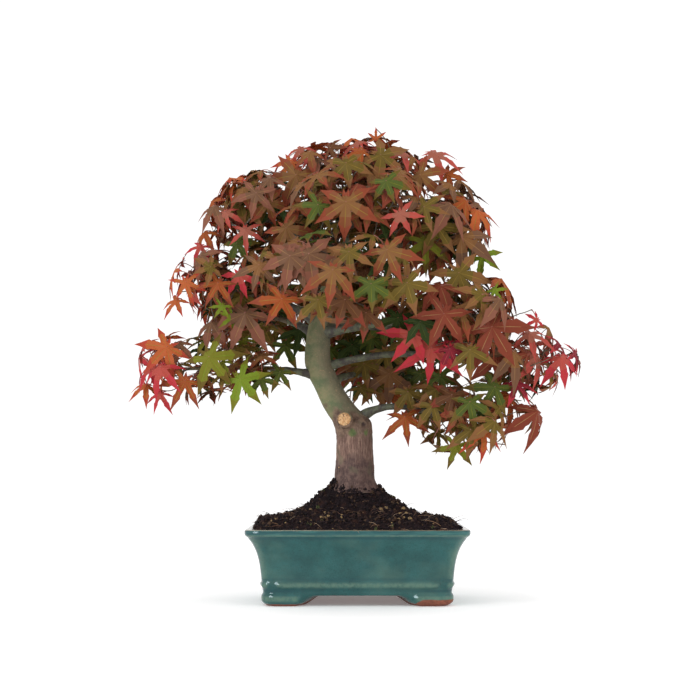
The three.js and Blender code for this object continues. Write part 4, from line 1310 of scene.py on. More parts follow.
class Leaf:
    """A leaf: where its blade meets its stalk, how it lies, its size and its kind."""

    def __init__(self, base, axis, normal, lobe, kind, bud, shut):
        self.base = base
        self.axis = axis
        self.normal = normal
        self.side = np.cross(normal, axis)
        self.lobe = lobe
        self.kind = kind
        self.bud = bud
        self.shut = shut
        self.mass = 0
        angles = np.radians([degrees for degrees, share in LOBES])
        spans = np.array([share for degrees, share in LOBES])[:, None] * lobe
        self.tips = base + spans * (np.outer(np.cos(angles), axis) + np.outer(np.sin(angles), self.side))
        self.tips = self.tips - normal * spans * (TIPS_FALL + SHUT_TIPS_FALL * math.sin(shut))


class Canopy:
    """All leaves so far, with a test for leaves and stalks that would cut through each other."""

    # What is kept of every leaf, a row for each, with the shape of a row.
    KEPT = {"base": (3,), "normal": (3,), "axis": (3,), "side": (3,), "bud": (3,), "lobe": (),
            "tips": (len(LOBES), 3)}

    def __init__(self):
        self.leaves = []
        self.picked = 0
        self.rows = {name: np.zeros((0, *shape)) for name, shape in self.KEPT.items()}

    def add(self, leaf, mass):
        """Takes in a leaf of a mass."""
        leaf.mass = mass
        self.leaves.append(leaf)
        for name, rows in self.rows.items():
            self.rows[name] = np.append(rows, [getattr(leaf, name)], axis=0)

    def has_room(self, leaf):
        """Whether a leaf would leave the faces of the listed leaves in view."""
        bases, normals, lobes = (self.rows[name][: self.picked] for name in ("base", "normal", "lobe"))
        away = leaf.base - bases
        over = (away * normals).sum(1)
        beside = np.sqrt(np.maximum((away**2).sum(1) - over**2, 0))
        near = beside < PICKED_OPEN_REACH * (lobes + leaf.lobe)
        return not ((over > PICKED_LOW) & (over < PICKED_HIGH) & near).any()

    def is_clear(self, leaf):
        """Whether a leaf and its stalk miss every leaf so far."""
        away = np.linalg.norm(self.rows["base"] - leaf.base, axis=1)
        close = away < self.rows["lobe"] + leaf.lobe
        if not close.any():
            return True
        near = {name: rows[close] for name, rows in self.rows.items()}
        ends = np.concatenate((leaf.tips, leaf.bud[None]))
        start = leaf.base - near["base"]
        for_end = ends[None, :, :] - near["base"][:, None, :]
        first = np.einsum("ij,ij->i", start, near["normal"])[:, None]
        last = np.einsum("ikj,ij->ik", for_end, near["normal"])
        if self.crosses(first, last, start[:, None, :], for_end, near["axis"][:, None, :],
                        near["side"][:, None, :], near["lobe"][:, None]):
            return False
        theirs = np.concatenate((near["tips"], near["bud"][:, None, :]), axis=1) - leaf.base
        start = -start[:, None, :]
        return not self.crosses(start @ leaf.normal, theirs @ leaf.normal, start, theirs, leaf.axis,
                                leaf.side, leaf.lobe)

    @staticmethod
    def crosses(first, last, start, end, axis, side, lobe):
        """Whether any stroke from start to end passes through a blade."""
        through = first * last < 0
        if not through.any():
            return False
        share = np.where(through, first / np.where(through, first - last, 1), 0)[..., None]
        point = start + (end - start) * share
        u = (point * axis).sum(-1)
        v = (point * side).sum(-1)
        angle = np.degrees(np.abs(np.arctan2(v, u)))
        reach = np.interp(angle.ravel(), OUTLINE_ANGLES, OUTLINE_REACH).reshape(angle.shape) * lobe
        return bool((through & (np.hypot(u, v) < reach)).any())


def line_of_sight(x, y):
    """The camera's place, the line through a pixel of its view, the view's own up, and its focal length
    in pixels."""
    stage = bpy.context.scene.maple_stage
    focal = stage.focal_length / SENSOR_WIDTH * VIEW_SIZE
    ahead = np.array((0, math.cos(stage.pitch), math.sin(stage.pitch)))
    above = np.array((0, -math.sin(stage.pitch), math.cos(stage.pitch)))
    line = ahead + above * (VIEW_SIZE / 2 - y) / focal + RIGHT * (x - VIEW_SIZE / 2) / focal
    eye = np.array((stage.camera_side, -stage.distance, stage.camera_height))
    return eye, line, above, focal


def reach_of_crown(eye, line):
    """How far along a line of sight it first meets the crown, or passes it closest, and which mass."""
    start = (eye - MASS_MIDDLES) / MASS_RADII
    along = line / MASS_RADII
    closest = -(start * along).sum(1) / (along**2).sum(1)
    passes = np.linalg.norm(start + along * closest[:, None], axis=1)
    inside = np.sqrt(np.clip(PICKED_DEPTH**2 - passes**2, 0, None)) / np.linalg.norm(along, axis=1)
    met = np.where(passes < PICKED_DEPTH, closest - inside, np.inf)
    if np.isfinite(met).any():
        index = int(np.argmin(met))
        return float(met[index]), index
    index = int(np.argmin(passes))
    return float(closest[index]), index


def picked_leaf(row, shift):
    """One of the listed leaves, moved this far along its line of sight, and the mass it grows on."""
    x, y, turn, length_seen, tip_up, rolled, shut, kind = row
    eye, line, above, focal = line_of_sight(x, y)
    reach, index = reach_of_crown(eye, line)
    base = eye + line * (reach + shift)
    view = unit(-line)
    points = RIGHT * math.sin(math.radians(turn)) - above * math.cos(math.radians(turn))
    points = unit(points - view * float(points @ view))
    lean = math.radians(tip_up)
    normal = view * math.cos(lean) - points * math.sin(lean)
    axis = points * math.cos(lean) + view * math.sin(lean)
    roll = math.radians(rolled)
    normal = normal * math.cos(roll) + np.cross(normal, axis) * math.sin(roll)
    lobe = length_seen * (reach + shift) / focal / max(math.cos(lean + math.radians(shut)), PICKED_FULL_SHOW)
    bud = base - normal * PICKED_STALK_BACK + UP * PICKED_STALK_UP
    return Leaf(base, axis, normal, lobe, kind, bud, math.radians(shut)), index


def grow_picked(crowns, canopy):
    """The listed leaves, each with a fine twig to its stalk."""
    draw = seeded(FIRST_SEED - 1)
    for row in PICKED_LEAVES:
        for shift in PICKED_SHIFTS:
            leaf, index = picked_leaf(row, shift)
            if canopy.is_clear(leaf):
                break
        crown = crowns[index]
        bud = crown.nearest(leaf.bud, 0)
        crown.shoot(bud, leaf.bud, FINE_BASE_RADIUS, FINE_TIP_RADIUS, draw)
        canopy.add(leaf, index)
    canopy.picked = len(canopy.leaves)


def leaf_pose(index, base, stalk, draw):
    """How a leaf lies, as its middle lobe's heading and its face's: it faces out of the crown and a
    little up, and the lobe carries on from the stalk and falls. None where the stalk would run through
    the blade."""
    outward = unit(base - CROWN_MIDDLE) + unit(base - MASS_MIDDLES[index]) * FACE_OUT_OF_MASS
    outward[2] = max(outward[2] * FACE_LEVEL, 0)
    normal = unit(outward + UP * FACE_UP + jitter(draw, FACE_JITTER))
    normal = unit(normal + stalk * max(0.0, STALK_UNDER - float(normal @ stalk)))
    fall = stalk - UP * LOBE_FALL + jitter(draw, LOBE_JITTER)
    axis = unit(fall - normal * float(fall @ normal))
    if float(normal @ stalk) > STALK_CLEAR or float(axis @ stalk) > STALK_BEHIND:
        return axis, normal
    return None


def keeps_to_outline(points):
    """Whether points, seen from the front, all lie inside the crown's outline."""
    eye, _, above, focal = line_of_sight(0, 0)
    away = points - eye
    deep = away @ np.cross(above, RIGHT)
    x = VIEW_SIZE / 2 + away[:, 0] / deep * focal
    y = VIEW_SIZE / 2 - away @ above / deep * focal
    heights, left, right = np.array(CROWN_SIDES).T
    beside = np.maximum(np.interp(y, heights, left) - x, x - np.interp(y, heights, right))
    under = y - np.interp(x, *np.array(CROWN_FOOT).T)
    return bool(max(beside.max(), under.max()) < OUTLINE_SLACK)


def keeps_to_space(index, leaf):
    """Whether every tip of a leaf keeps to its mass's own space."""
    if not keeps_to_outline(leaf.tips):
        return False
    out = depths(leaf.tips)
    own = out[:, index]
    shared = (own[:, None] <= out + SPACE_SLACK).all()
    return bool(shared and own.max() < SPACE_REACH and leaf.tips[:, 2].min() > LOWEST_LEAF)


def grow_leaves(mass, index, crown, canopy, settings):
    """Leaves over the open side of a mass, each on the nearest twig that it can reach."""
    draw = seeded(FIRST_SEED + SEED_STEP * index + 1)
    furthest = UP if mass.bough is None else unit(mass.middle * (1, 1, 0))
    for depth, share in LEAF_LAYERS:
        count = round(mass.leaves * share * settings.fullness)
        for direction in even_directions(count, draw):
            for attempt in range(LEAF_TRIES):
                part = attempt / LEAF_TRIES
                turned = unit(direction + jitter(draw, LEAF_TURN * part))
                base = place_in(index, turned, depth - DEPTH_SPREAD * draw() * part)
                bud = crown.nearest(base, attempt % BUD_CHOICES)
                stalk = base - crown.places[bud]
                if not PETIOLE_SHORTEST <= norm(stalk) <= PETIOLE_LONGEST:
                    continue
                pose = leaf_pose(index, base, unit(stalk), draw)
                if pose is None:
                    continue
                lobe = settings.lobe * mass.size * (1 + LEAF_SIZE_SPREAD * (2 * draw() - 1))
                spray = crown.owners[bud][0].spray
                kinds = mass.kinds if depth > INNER_DEPTH else INNER_KINDS
                if float((base - mass.middle) / mass.radii @ furthest) > RIM_FROM:
                    kinds = mass.rim_kinds
                kind = kinds[(spray * KIND_STEP + int(draw() * KIND_SPREAD)) % len(kinds)]
                leaf = Leaf(base, *pose, lobe, kind, crown.places[bud], LEAF_SHUT * draw() ** 1.5)
                if canopy.has_room(leaf) and keeps_to_space(index, leaf) and canopy.is_clear(leaf):
                    crown.free[bud] = draw() < BUD_STAYS_FREE
                    canopy.add(leaf, index)
                    break


GROWN = {}


def whole_crown():
    """All twigs and leaves, grown once."""
    if not GROWN:
        canopy = Canopy()
        crowns = [grow_mass(mass, index) for index, mass in enumerate(MASSES)]
        grow_picked(crowns, canopy)
        settings = bpy.context.scene.maple_leaves
        for index, (mass, crown) in enumerate(zip(MASSES, crowns)):
            grow_leaves(mass, index, crown, canopy, settings)
        GROWN["crowns"] = crowns
        GROWN["canopy"] = canopy
    return GROWN


# ---------------------------------------------------------------- leaf shapes

SINUS = 0.25
BASE_SINUS = 0.05
RIB = 0.008

# Corners of a full lobe: share of its length, and half width as a share of its length.
SHOULDER = (0.36, 0.132)
NOTCH = (0.45, 0.122)
TOOTH = (0.53, 0.156)
TAPER = (0.77, 0.062)
RIB_FORK = 0.36
RIB_END = 0.62

# Plain tints, as they look on a screen; the darkest green stands for painted shade.
TINTS = {
    "gold": (138, 112, 48), "straw": (144, 107, 69), "leaf_olive": (100, 82, 35), "leaf_green": (76, 86, 36),
    "deep_green": (50, 62, 28), "fresh_lime": (110, 128, 36), "yellow_green": (112, 111, 35),
    "tan_brown": (123, 84, 50), "bronze_brown": (123, 71, 44), "red_bronze": (132, 64, 43),
    "mauve_brown": (125, 79, 62), "dusky_pink": (151, 87, 71), "grey_mauve": (108, 76, 56),
    "rust_brown": (146, 72, 35), "flame": (170, 86, 46), "flame_red": (164, 64, 46),
    "soft_rose": (167, 72, 63), "bright_crimson": (172, 50, 58), "deep_wine": (121, 33, 44),
    "oxblood": (119, 56, 40), "umber": (91, 57, 35),
}

# Leaf kinds: the tints of the veins, of the blade's heart, of its middle and of its tips.
LEAF_KINDS = {
    "bronze": ("gold", "tan_brown", "bronze_brown", "red_bronze"),
    "tan": ("gold", "leaf_olive", "tan_brown", "tan_brown"),
    "dusk": ("straw", "tan_brown", "grey_mauve", "grey_mauve"),
    "mauve": ("straw", "grey_mauve", "mauve_brown", "mauve_brown"),
    "olive": ("gold", "leaf_olive", "leaf_olive", "tan_brown"),
    "green": ("yellow_green", "leaf_green", "leaf_green", "leaf_olive"),
    # The deep kind is a darker copy of the green: painted shade for leaves inside the crown.
    "deep": ("leaf_green", "deep_green", "deep_green", "deep_green"),
    "lime": ("yellow_green", "fresh_lime", "fresh_lime", "yellow_green"),
    "lime_bronze": ("fresh_lime", "yellow_green", "yellow_green", "leaf_olive"),
    "brown": ("tan_brown", "umber", "umber", "oxblood"),
    "rust": ("gold", "rust_brown", "rust_brown", "red_bronze"),
    "orange": ("gold", "flame", "flame", "flame_red"),
    "rose": ("dusky_pink", "dusky_pink", "soft_rose", "soft_rose"),
    "crimson": ("flame_red", "soft_rose", "bright_crimson", "bright_crimson"),
    "wine": ("soft_rose", "deep_wine", "deep_wine", "bright_crimson"),
    "dark": ("straw", "oxblood", "oxblood", "oxblood"),
}
VEIN, HEART, MIDDLE, TIP = range(4)
SINUS_SHARES = (1.0, 0.84, 0.62)
LOBE_TURN = 8
ZONES_OF_SIDE = (HEART, MIDDLE, MIDDLE, TIP, TIP)
BASAL_LOBES = (3, 4)
BASAL_RIB = 0.42
BASAL_SIDE = (0.44, 0.17)
NARROW_WIDTH = 0.66
USUAL_WIDTH = 0.86
NARROW_KINDS = ("orange", "rose", "crimson", "wine", "rust", "lime", "lime_bronze")


def leaf_materials():
    """One plain finish for each tint."""
    return [Finish(f"leaf_{name}", linear(*tint_seen), 0.6, specular_ior_level=0.06).material
            for name, tint_seen in TINTS.items()]


def leaf_shape(leaf, settings, draw):
    """Points, faces and tint zones of one leaf."""
    spread = 0.94 + 0.12 * draw()
    wide = (NARROW_WIDTH if leaf.kind in NARROW_KINDS else USUAL_WIDTH) + 0.26 * draw()
    points = [(0.0, 0.0, 0.0)]
    faces = []
    zones = []

    def corner(angle, along, across, bend):
        """A point of the blade, bent down along its lobe and folded up from its midrib."""
        ahead = math.sin(bend * along) / bend
        down = (1 - math.cos(bend * along)) / bend
        out = ahead * math.cos(leaf.shut) - down * math.sin(leaf.shut)
        rise = settings.fold * abs(across) - ahead * math.sin(leaf.shut) - down * math.cos(leaf.shut)
        x = out * math.cos(angle) - across * math.sin(angle)
        y = out * math.sin(angle) + across * math.cos(angle)
        points.append((x, y, rise))
        return len(points) - 1

    lobes = []
    for degrees, share in LOBES:
        bend = settings.droop * (0.3 + 1.4 * draw())
        angle = math.radians(degrees * spread + LOBE_TURN * (draw() - 0.5))
        lobes.append((angle, share * (0.9 + 0.2 * draw()), bend))
    sinuses = []
    for order, (angle, share, bend) in enumerate(lobes):
        following = lobes[(order + 1) % len(lobes)][0]
        if order == BASAL_LOBES[0]:
            sinuses.append(corner(math.pi, BASE_SINUS, 0.0, bend))
            continue
        last = len(lobes) - 1
        gap = angle / 2 if order == last else (angle + following) / 2
        depth = SINUS * (0.88 + 0.24 * draw()) * SINUS_SHARES[min(order, last - order)]
        sinuses.append(corner(gap, depth, 0.0, bend))
    for order, (angle, share, bend) in enumerate(lobes):
        before = sinuses[order - 1]
        after = sinuses[order]
        tip = corner(angle, share, 0.0, bend)
        if order in BASAL_LOBES:
            rib = corner(angle, share * BASAL_RIB, 0.0, bend)
            along, half = BASAL_SIDE
            right, left = (corner(angle, share * along, hand * share * half, bend) for hand in (-1, 1))
            faces += [(0, before, right, rib), (rib, right, tip), (0, rib, left, after), (rib, tip, left)]
            zones += [HEART, TIP, HEART, TIP]
            continue
        forks = [corner(angle, share * RIB_FORK, hand * RIB, bend) for hand in (-1, 1)]
        ends = [corner(angle, share * RIB_END, hand * RIB * 0.6, bend) for hand in (-1, 1)]
        faces += [(0, forks[0], forks[1]), (forks[0], ends[0], ends[1], forks[1]), (ends[0], tip, ends[1])]
        zones += [VEIN, VEIN, TIP]
        for hand, fork, end, sinus in ((-1, forks[0], ends[0], before), (1, forks[1], ends[1], after)):
            shoulder, notch, tooth, taper = (
                corner(angle, share * along, hand * share * half * wide, bend)
                for along, half in (SHOULDER, NOTCH, TOOTH, TAPER)
            )
            strips = [(0, sinus, shoulder, fork), (fork, shoulder, notch), (fork, notch, tooth, end)]
            strips += [(end, tooth, taper), (end, taper, tip)]
            if hand > 0:
                strips = [tuple(reversed(strip)) for strip in strips]
            faces += strips
            zones += ZONES_OF_SIDE
    points = np.array(points) * leaf.lobe
    points = leaf.base + points @ np.array((leaf.axis, leaf.side, leaf.normal))
    return points, faces, zones


STALK_RADII = (0.0009, 0.00058, 0.00052, 0.00055, 0.00075)
STALK_ARCH = 0.20
STALK_END = 0.0002
STEM_SIDES = 8
TWIG_SIDES = 5
STALK_SIDES = 4


class MAPLE_OT_twigs(bpy.types.Operator):
    """Builds the boughs, the stems, twigs and leaf stalks"""

    bl_idname = "maple.twigs"
    bl_label = "Boughs and Twigs"

    def execute(self, context):
        settings = context.scene.maple_bark
        grown = whole_crown()
        bark = limb_material(settings)
        twig_finish = Finish("twig_bark", settings.twig, 0.7)
        shade = twig_finish.spots(0.35, 0.65, 130, 3)
        twig_finish.colour(twig_finish.mix(shade, settings.twig, linear(102, 88, 62)))
        stalk = Finish("leaf_stalk", settings.stalk, 0.5).material
        for index, (mass, crown) in enumerate(zip(MASSES, grown["crowns"])):
            if mass.bough is not None:
                self.bough(mass, bark)
            heap = Heap()
            for number, twig in enumerate(crown.twigs):
                heap.add(*tube(twig.path, twig.radii, TWIG_SIDES if number else STEM_SIDES), 0)
            twigs = heap.piece(f"twigs_{mass.name}", [twig_finish.material], True)
            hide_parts(f"foliage_{mass.name}")
            heap = Heap()
            draw = seeded(FIRST_SEED + SEED_STEP * index + 2)
            for leaf in grown["canopy"].leaves:
                if leaf.mass == index:
                    self.stalk(heap, leaf, draw)
            stalks = heap.piece(f"stalks_{mass.name}", [stalk], True)
            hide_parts(f"foliage_{mass.name}")
        return {"FINISHED"}

    def stalk(self, heap, leaf, draw):
        """A leaf stalk, which arches over from its bud to the blade."""
        run = norm(leaf.base - leaf.bud)
        bend = (leaf.bud + leaf.base) / 2 + UP * STALK_ARCH * run + jitter(draw, STALK_CROOK * run)
        path = bezier(leaf.bud, bend, leaf.base - leaf.normal * STALK_END, len(STALK_RADII))
        heap.add(*tube(path, STALK_RADII, STALK_SIDES), 0)

    def bough(self, mass, bark):
        """A tapering limb that swells where it leaves the trunk."""
        radii = np.linspace(mass.radius, mass.stem_radius, len(mass.bough))
        trunk_width = np.interp(mass.rises, *np.array(TRUNK_STATIONS).T[[0, 3]])
        beyond = np.maximum(runs_along(mass.bough) - trunk_width * BOUGH_ROOT, 0)
        radii = radii * (1 + BOUGH_SWELL * bell(beyond, BOUGH_SWELL_RUN))
        points, faces = tube(mass.bough, radii, BOUGH_SIDES)
        for point in points:
            spots = [Vector(point) * BOUGH_GRAIN + UP_APART * axis for axis in range(3)]
            point += BOUGH_ROUGHNESS * np.array([noise.noise(spot) for spot in spots])
        heap = Heap()
        heap.add(points, faces, 0)
        limb = heap.piece(f"bark_{mass.name}", [bark], True)
        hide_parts(f"bough_{mass.name}")


class MAPLE_OT_leaves(bpy.types.Operator):
    """Builds the leaves of every mass"""

    bl_idname = "maple.leaves"
    bl_label = "Leaves"

    def execute(self, context):
        settings = context.scene.maple_leaves
        grown = whole_crown()
        materials = leaf_materials()
        order = {name: slot for slot, name in enumerate(TINTS)}
        for index, mass in enumerate(MASSES):
            draw = seeded(FIRST_SEED + SEED_STEP * index + 3)
            heap = Heap()
            for leaf in grown["canopy"].leaves:
                if leaf.mass != index:
                    continue
                points, faces, zones = leaf_shape(leaf, settings, draw)
                tints = [order[name] for name in LEAF_KINDS[leaf.kind]]
                heap.add(points, faces, [tints[zone] for zone in zones])
            leaves = heap.piece(f"leaves_{mass.name}", materials, False)
            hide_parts(f"foliage_{mass.name}")
        return {"FINISHED"}


# ---------------------------------------------------------------- soil

SOIL_FOOT_RADIUS = 0.0235
SOIL_FOOT = np.array((-0.001, 0.0))
SOIL_RINGS = 48
SOIL_HALF_LENGTH = 0.1167
SOIL_CORNER = 0.0150
SOIL_WALL_CORNER = 0.0167
SOIL_LUMP = 0.0030
SOIL_CRUMBLE = 0.0013
SOIL_SLOPE = ((0, 0), (0.1, 0.14), (0.25, 0.25), (0.5, 0.39), (0.74, 0.60), (0.88, 0.79), (1, 1))
SOIL_WALL = ((0.0190, 0.0937), (0.0247, 0.0963), (0.0460, 0.0985), (0.0607, 0.1031), (0.0780, 0.1151))


def soil_height(share, settings):
    """Height of the soil this share of the way from the pot's wall to the trunk."""
    climb = np.interp(share, *np.array(SOIL_SLOPE).T)
    return settings.edge_height + (settings.peak_height - settings.edge_height) * climb


# Rises and dips of the mound: middle along X and Y, spread along X and Y, height.
SOIL_SWELLS = (
    (-0.040, -0.004, 0.015, 0.024, 0.0105),
    (0.036, -0.002, 0.011, 0.022, 0.0055),
    (0.076, 0.000, 0.016, 0.060, -0.0048),
    (-0.112, 0.000, 0.012, 0.070, 0.0062),
    (0.110, 0.000, 0.012, 0.060, 0.0020),
)


def soil_swell(x, y):
    """How far the mound rises over its plain slope at a place."""
    rise = 0
    for middle_x, middle_y, spread_x, spread_y, height in SOIL_SWELLS:
        rise += height * bell(x - middle_x, spread_x) * bell(y - middle_y, spread_y)
    return rise + noise.fractal(Vector((x, y, 0.3)) * 90, 0.8, 2.1, 5) * SOIL_LUMP


def towards_trunk(edge, share):
    """Places this share of the way from the soil's edge to the trunk."""
    outward = edge - SOIL_FOOT
    reach = np.linalg.norm(outward, axis=-1, keepdims=True)
    return SOIL_FOOT + outward / reach * (reach + (SOIL_FOOT_RADIUS - reach) * share)


def soil_ring(share, settings, rough):
    """One ring of the mound."""
    edge = pot_plan(SOIL_HALF_LENGTH, SOIL_HALF_LENGTH - SIDE_INSET, SOIL_CORNER)[0]
    plan = towards_trunk(edge, share)
    height = soil_height(share, settings)
    ring = []
    for x, y in plan:
        crumb = noise.noise(Vector((x, y, 0.8)) * 420) * SOIL_CRUMBLE
        ring.append((x, y, height + (soil_swell(x, y) + crumb) * rough))
    return np.array(ring)


def soil_material(settings):
    """Dark crumbly earth."""
    finish = Finish("dark_earth", settings.earth, 0.95, specular_ior_level=0.12)
    mottle = finish.spots(0.35, 0.68, 260, 5, 0.7)
    body = finish.mix(mottle, shaded(settings.earth, 0.45), shaded(settings.earth, 1.5))
    reddish = finish.spots(0.5, 0.7, 90, 3)
    finish.colour(finish.over(body, reddish, 0.6, linear(74, 46, 36)))
    finish.relief(finish.noise(700, 5, 0.75), 0.003, 0.9)
    return finish.material


SCATTER_HALF_LENGTH = 0.1155
SCATTER_EDGE = pot_plan(SCATTER_HALF_LENGTH, SCATTER_HALF_LENGTH - SIDE_INSET, SOIL_CORNER)[0]
CRUMB_SHADES = ((36, 25, 28), (54, 38, 34), (25, 18, 20), (76, 57, 44))
FIBRE_SHADES = ((40, 28, 26), (62, 42, 34), (100, 64, 46), (140, 104, 74), (182, 152, 124))
CRUMB_CORNERS = np.array(((1, 0, 0), (-1, 0, 0), (0, 1, 0), (0, -1, 0), (0, 0, 1), (0, 0, -1)), float)
CRUMB_FACES = ((0, 2, 4), (2, 1, 4), (1, 3, 4), (3, 0, 4), (2, 0, 5), (1, 2, 5), (3, 1, 5), (0, 3, 5))
COLLAR_CRUMBS = 760
COLLAR_START = 0.0255
COLLAR_WIDTH = 0.0085
COLLAR_SLOPE_RUN = 0.072
COLLAR_HEIGHT = 0.0034
COLLAR_UNEVEN = 0.0040
COLLAR_LEFT = 0.0052
SCATTER_REACH = 0.97
CRUMB_SMALLEST = 0.0007
CRUMB_SPREAD = 0.0017
FIBRE_SHORTEST = 0.004
FIBRE_SPREAD = 0.018
FIBRE_THINNEST = 0.00022
FIBRE_THICKER = 0.00030
PELLET_SMALLEST = 0.0011
PELLET_SPREAD = 0.0016
PELLET_LUMPS = 0.22
TUFT_RADIUS = 0.0022
BLADE_LEAN = 0.0016
BLADE_SHORTEST = 0.0016
BLADE_SPREAD = 0.0014
BLADE_RADII = (0.00045, 0.00012)
FIBRE_POINTS = 6
FIBRE_SUNK = 0.0005
MOSS_TUFTS = 26
TUFT_BLADES = 14
SCATTER_SEED = 71


class MAPLE_OT_soil(bpy.types.Operator):
    """Builds the mound of soil with its crumbs, fibres, pellets and moss"""

    bl_idname = "maple.soil"
    bl_label = "Soil"

    def execute(self, context):
        settings = context.scene.maple_soil
        rings = []
        for height, half in SOIL_WALL:
            radius = SOIL_WALL_CORNER - (LIP_HALF_LENGTH - half) * CORNER_TIGHTENING
            points = pot_plan(half, half - SIDE_INSET, radius)[0]
            rings.append(np.column_stack((points, np.full(len(points), height))))
        for step in range(SOIL_RINGS + 1):
            rings.append(soil_ring(step / SOIL_RINGS, settings, min(1, step / 2)))
        mound = lofted("soil_mound", rings, [soil_material(settings)])
        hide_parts("soil")
        self.scatter(settings)
        return {"FINISHED"}

    def spot(self, draw, settings):
        """A random place on the mound."""
        share = 1 - math.sqrt(1 - draw() * SCATTER_REACH)
        x, y = towards_trunk(SCATTER_EDGE[int(draw() * len(SCATTER_EDGE))], share)
        return np.array((x, y, float(soil_height(share, settings)) + soil_swell(x, y)))

    def collar_spot(self, draw, settings):
        """A random place in the crumbs that are heaped against the trunk, highest on its left."""
        angle = draw() * 2 * math.pi
        out = draw()
        radius = COLLAR_START + COLLAR_WIDTH * out
        x, y = SOIL_FOOT + radius * turned_to(angle)
        heaped = COLLAR_HEIGHT + COLLAR_UNEVEN * noise.noise(Vector((x, y, 0.5)) * 95)
        heaped += COLLAR_LEFT * max(-math.cos(angle), 0) ** 3
        height = float(soil_height(1 - (radius - SOIL_FOOT_RADIUS) / COLLAR_SLOPE_RUN, settings))
        return np.array((x, y, height + soil_swell(x, y) + max(heaped, 0) * (1 - out) * draw() ** 0.6))

    def crumb(self, heap, place, draw):
        """One rough crumb."""
        size = CRUMB_SMALLEST + CRUMB_SPREAD * draw() ** 2.2
        corners = CRUMB_CORNERS * size * (0.6 + 0.8 * np.array([[draw(), draw(), draw()] for _ in range(6)]))
        lift = (0, 0, size * (0.2 + 1.2 * draw()))
        heap.add(corners + place + lift, CRUMB_FACES, int(draw() ** 1.6 * len(CRUMB_SHADES)))

    def scatter(self, settings):
        """Loose crumbs, root fibres, clay pellets and bits of moss."""
        draw = seeded(SCATTER_SEED)
        crumb_finish = [Finish(f"crumb_{number}", linear(*shade), 0.95, specular_ior_level=0.14).material
                        for number, shade in enumerate(CRUMB_SHADES)]
        heap = Heap()
        for _ in range(settings.crumbs):
            self.crumb(heap, self.spot(draw, settings), draw)
        for _ in range(COLLAR_CRUMBS):
            self.crumb(heap, self.collar_spot(draw, settings), draw)
        self.keep(heap.piece("soil_crumbs", crumb_finish, False))
        fibre_finish = [Finish(f"fibre_{number}", linear(*shade), 0.85).material
                        for number, shade in enumerate(FIBRE_SHADES)]
        heap = Heap()
        for _ in range(settings.fibres):
            start = self.spot(draw, settings)
            angle = draw() * 2 * math.pi
            run = FIBRE_SHORTEST + FIBRE_SPREAD * draw() ** 1.5
            heading = np.array((math.cos(angle), math.sin(angle), 0.1 + 0.35 * draw()))
            middle = start + heading * run * 0.5 + (0, 0, run * 0.22 * draw())
            end = start + heading * run * (0.8 + 0.2 * draw()) - (0, 0, run * 0.2 * draw())
            middle += jitter(draw, run * 0.2)
            path = bezier(start - UP * FIBRE_SUNK, middle, end, FIBRE_POINTS)
            thick = FIBRE_THINNEST + FIBRE_THICKER * draw() ** 2
            radii = np.linspace(thick, thick * 0.4, FIBRE_POINTS)
            heap.add(*tube(path, radii, 3), int(draw() ** 1.8 * len(FIBRE_SHADES)))
        self.keep(heap.piece("root_fibres", fibre_finish, True))
        self.pellets(settings, draw)
        self.moss(settings, draw)

    def pellets(self, settings, draw):
        """Round pellets of baked clay, half sunk."""
        finish = Finish("baked_clay", linear(128, 98, 62), 0.9)
        finish.colour(finish.mix(finish.spots(0.35, 0.65, 420, 4), linear(88, 62, 42), linear(166, 136, 84)))
        finish.relief(finish.noise(600, 3), 0.0008, 0.6)
        bm = bmesh.new()
        bmesh.ops.create_icosphere(bm, subdivisions=2, radius=1)
        ball = np.array([vertex.co for vertex in bm.verts])
        faces = [tuple(vertex.index for vertex in face.verts) for face in bm.faces]
        bm.free()
        heap = Heap()
        for number in range(settings.pellets):
            size = PELLET_SMALLEST + PELLET_SPREAD * draw()
            shift = Vector((number * 3.7, 0, 0))
            lumps = np.array([1 + PELLET_LUMPS * noise.noise(Vector(spot) * 1.3 + shift) for spot in ball])
            squash = np.array((1, 0.85 + 0.2 * draw(), 0.75 + 0.2 * draw()))
            place = self.spot(draw, settings) + (0, 0, size * 0.25)
            heap.add(ball * lumps[:, None] * squash * size + place, faces, 0)
        self.keep(heap.piece("clay_pellets", [finish.material], True))

    def moss(self, settings, draw):
        """Small tufts of moss."""
        green = Finish("moss", linear(86, 92, 40), 0.9).material
        heap = Heap()
        for _ in range(MOSS_TUFTS):
            centre = self.spot(draw, settings)
            for _ in range(TUFT_BLADES):
                root = centre + jitter(draw, TUFT_RADIUS) * (1, 1, 0.2)
                tip = root + jitter(draw, BLADE_LEAN) + UP * (BLADE_SHORTEST + BLADE_SPREAD * draw())
                heap.add(*tube(np.array((root, tip)), BLADE_RADII, 3), 0)
        self.keep(heap.piece("moss_tufts", [green], False))

    def keep(self, piece):
        """Hides the soil's part from the model."""
        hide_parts("soil")


# ---------------------------------------------------------------- stage


FLOOR_HALF = 12
WORLD_STRENGTH = 1.09
LIGHTS_AIM = Vector((0, 0, 0.25))
CLIP_START = 0.01
CLIP_END = 60

# Soft boxes left and right, and a cool window that only shows in the gloss: name, place, width, power,
# colour and whether it lights more than gloss.
LIGHT_BOXES = (
    ("key_box", (-1.25, -1.35, 1.35), 0.35, 6, (1, 1, 1), True),
    ("fill_box", (1.6, -1.1, 0.5), 1.1, 3, (1, 1, 1), True),
    ("window_box", (-1.05, -1.65, 0.55), 1.15, 54, (0.78, 0.92, 1), False),
)


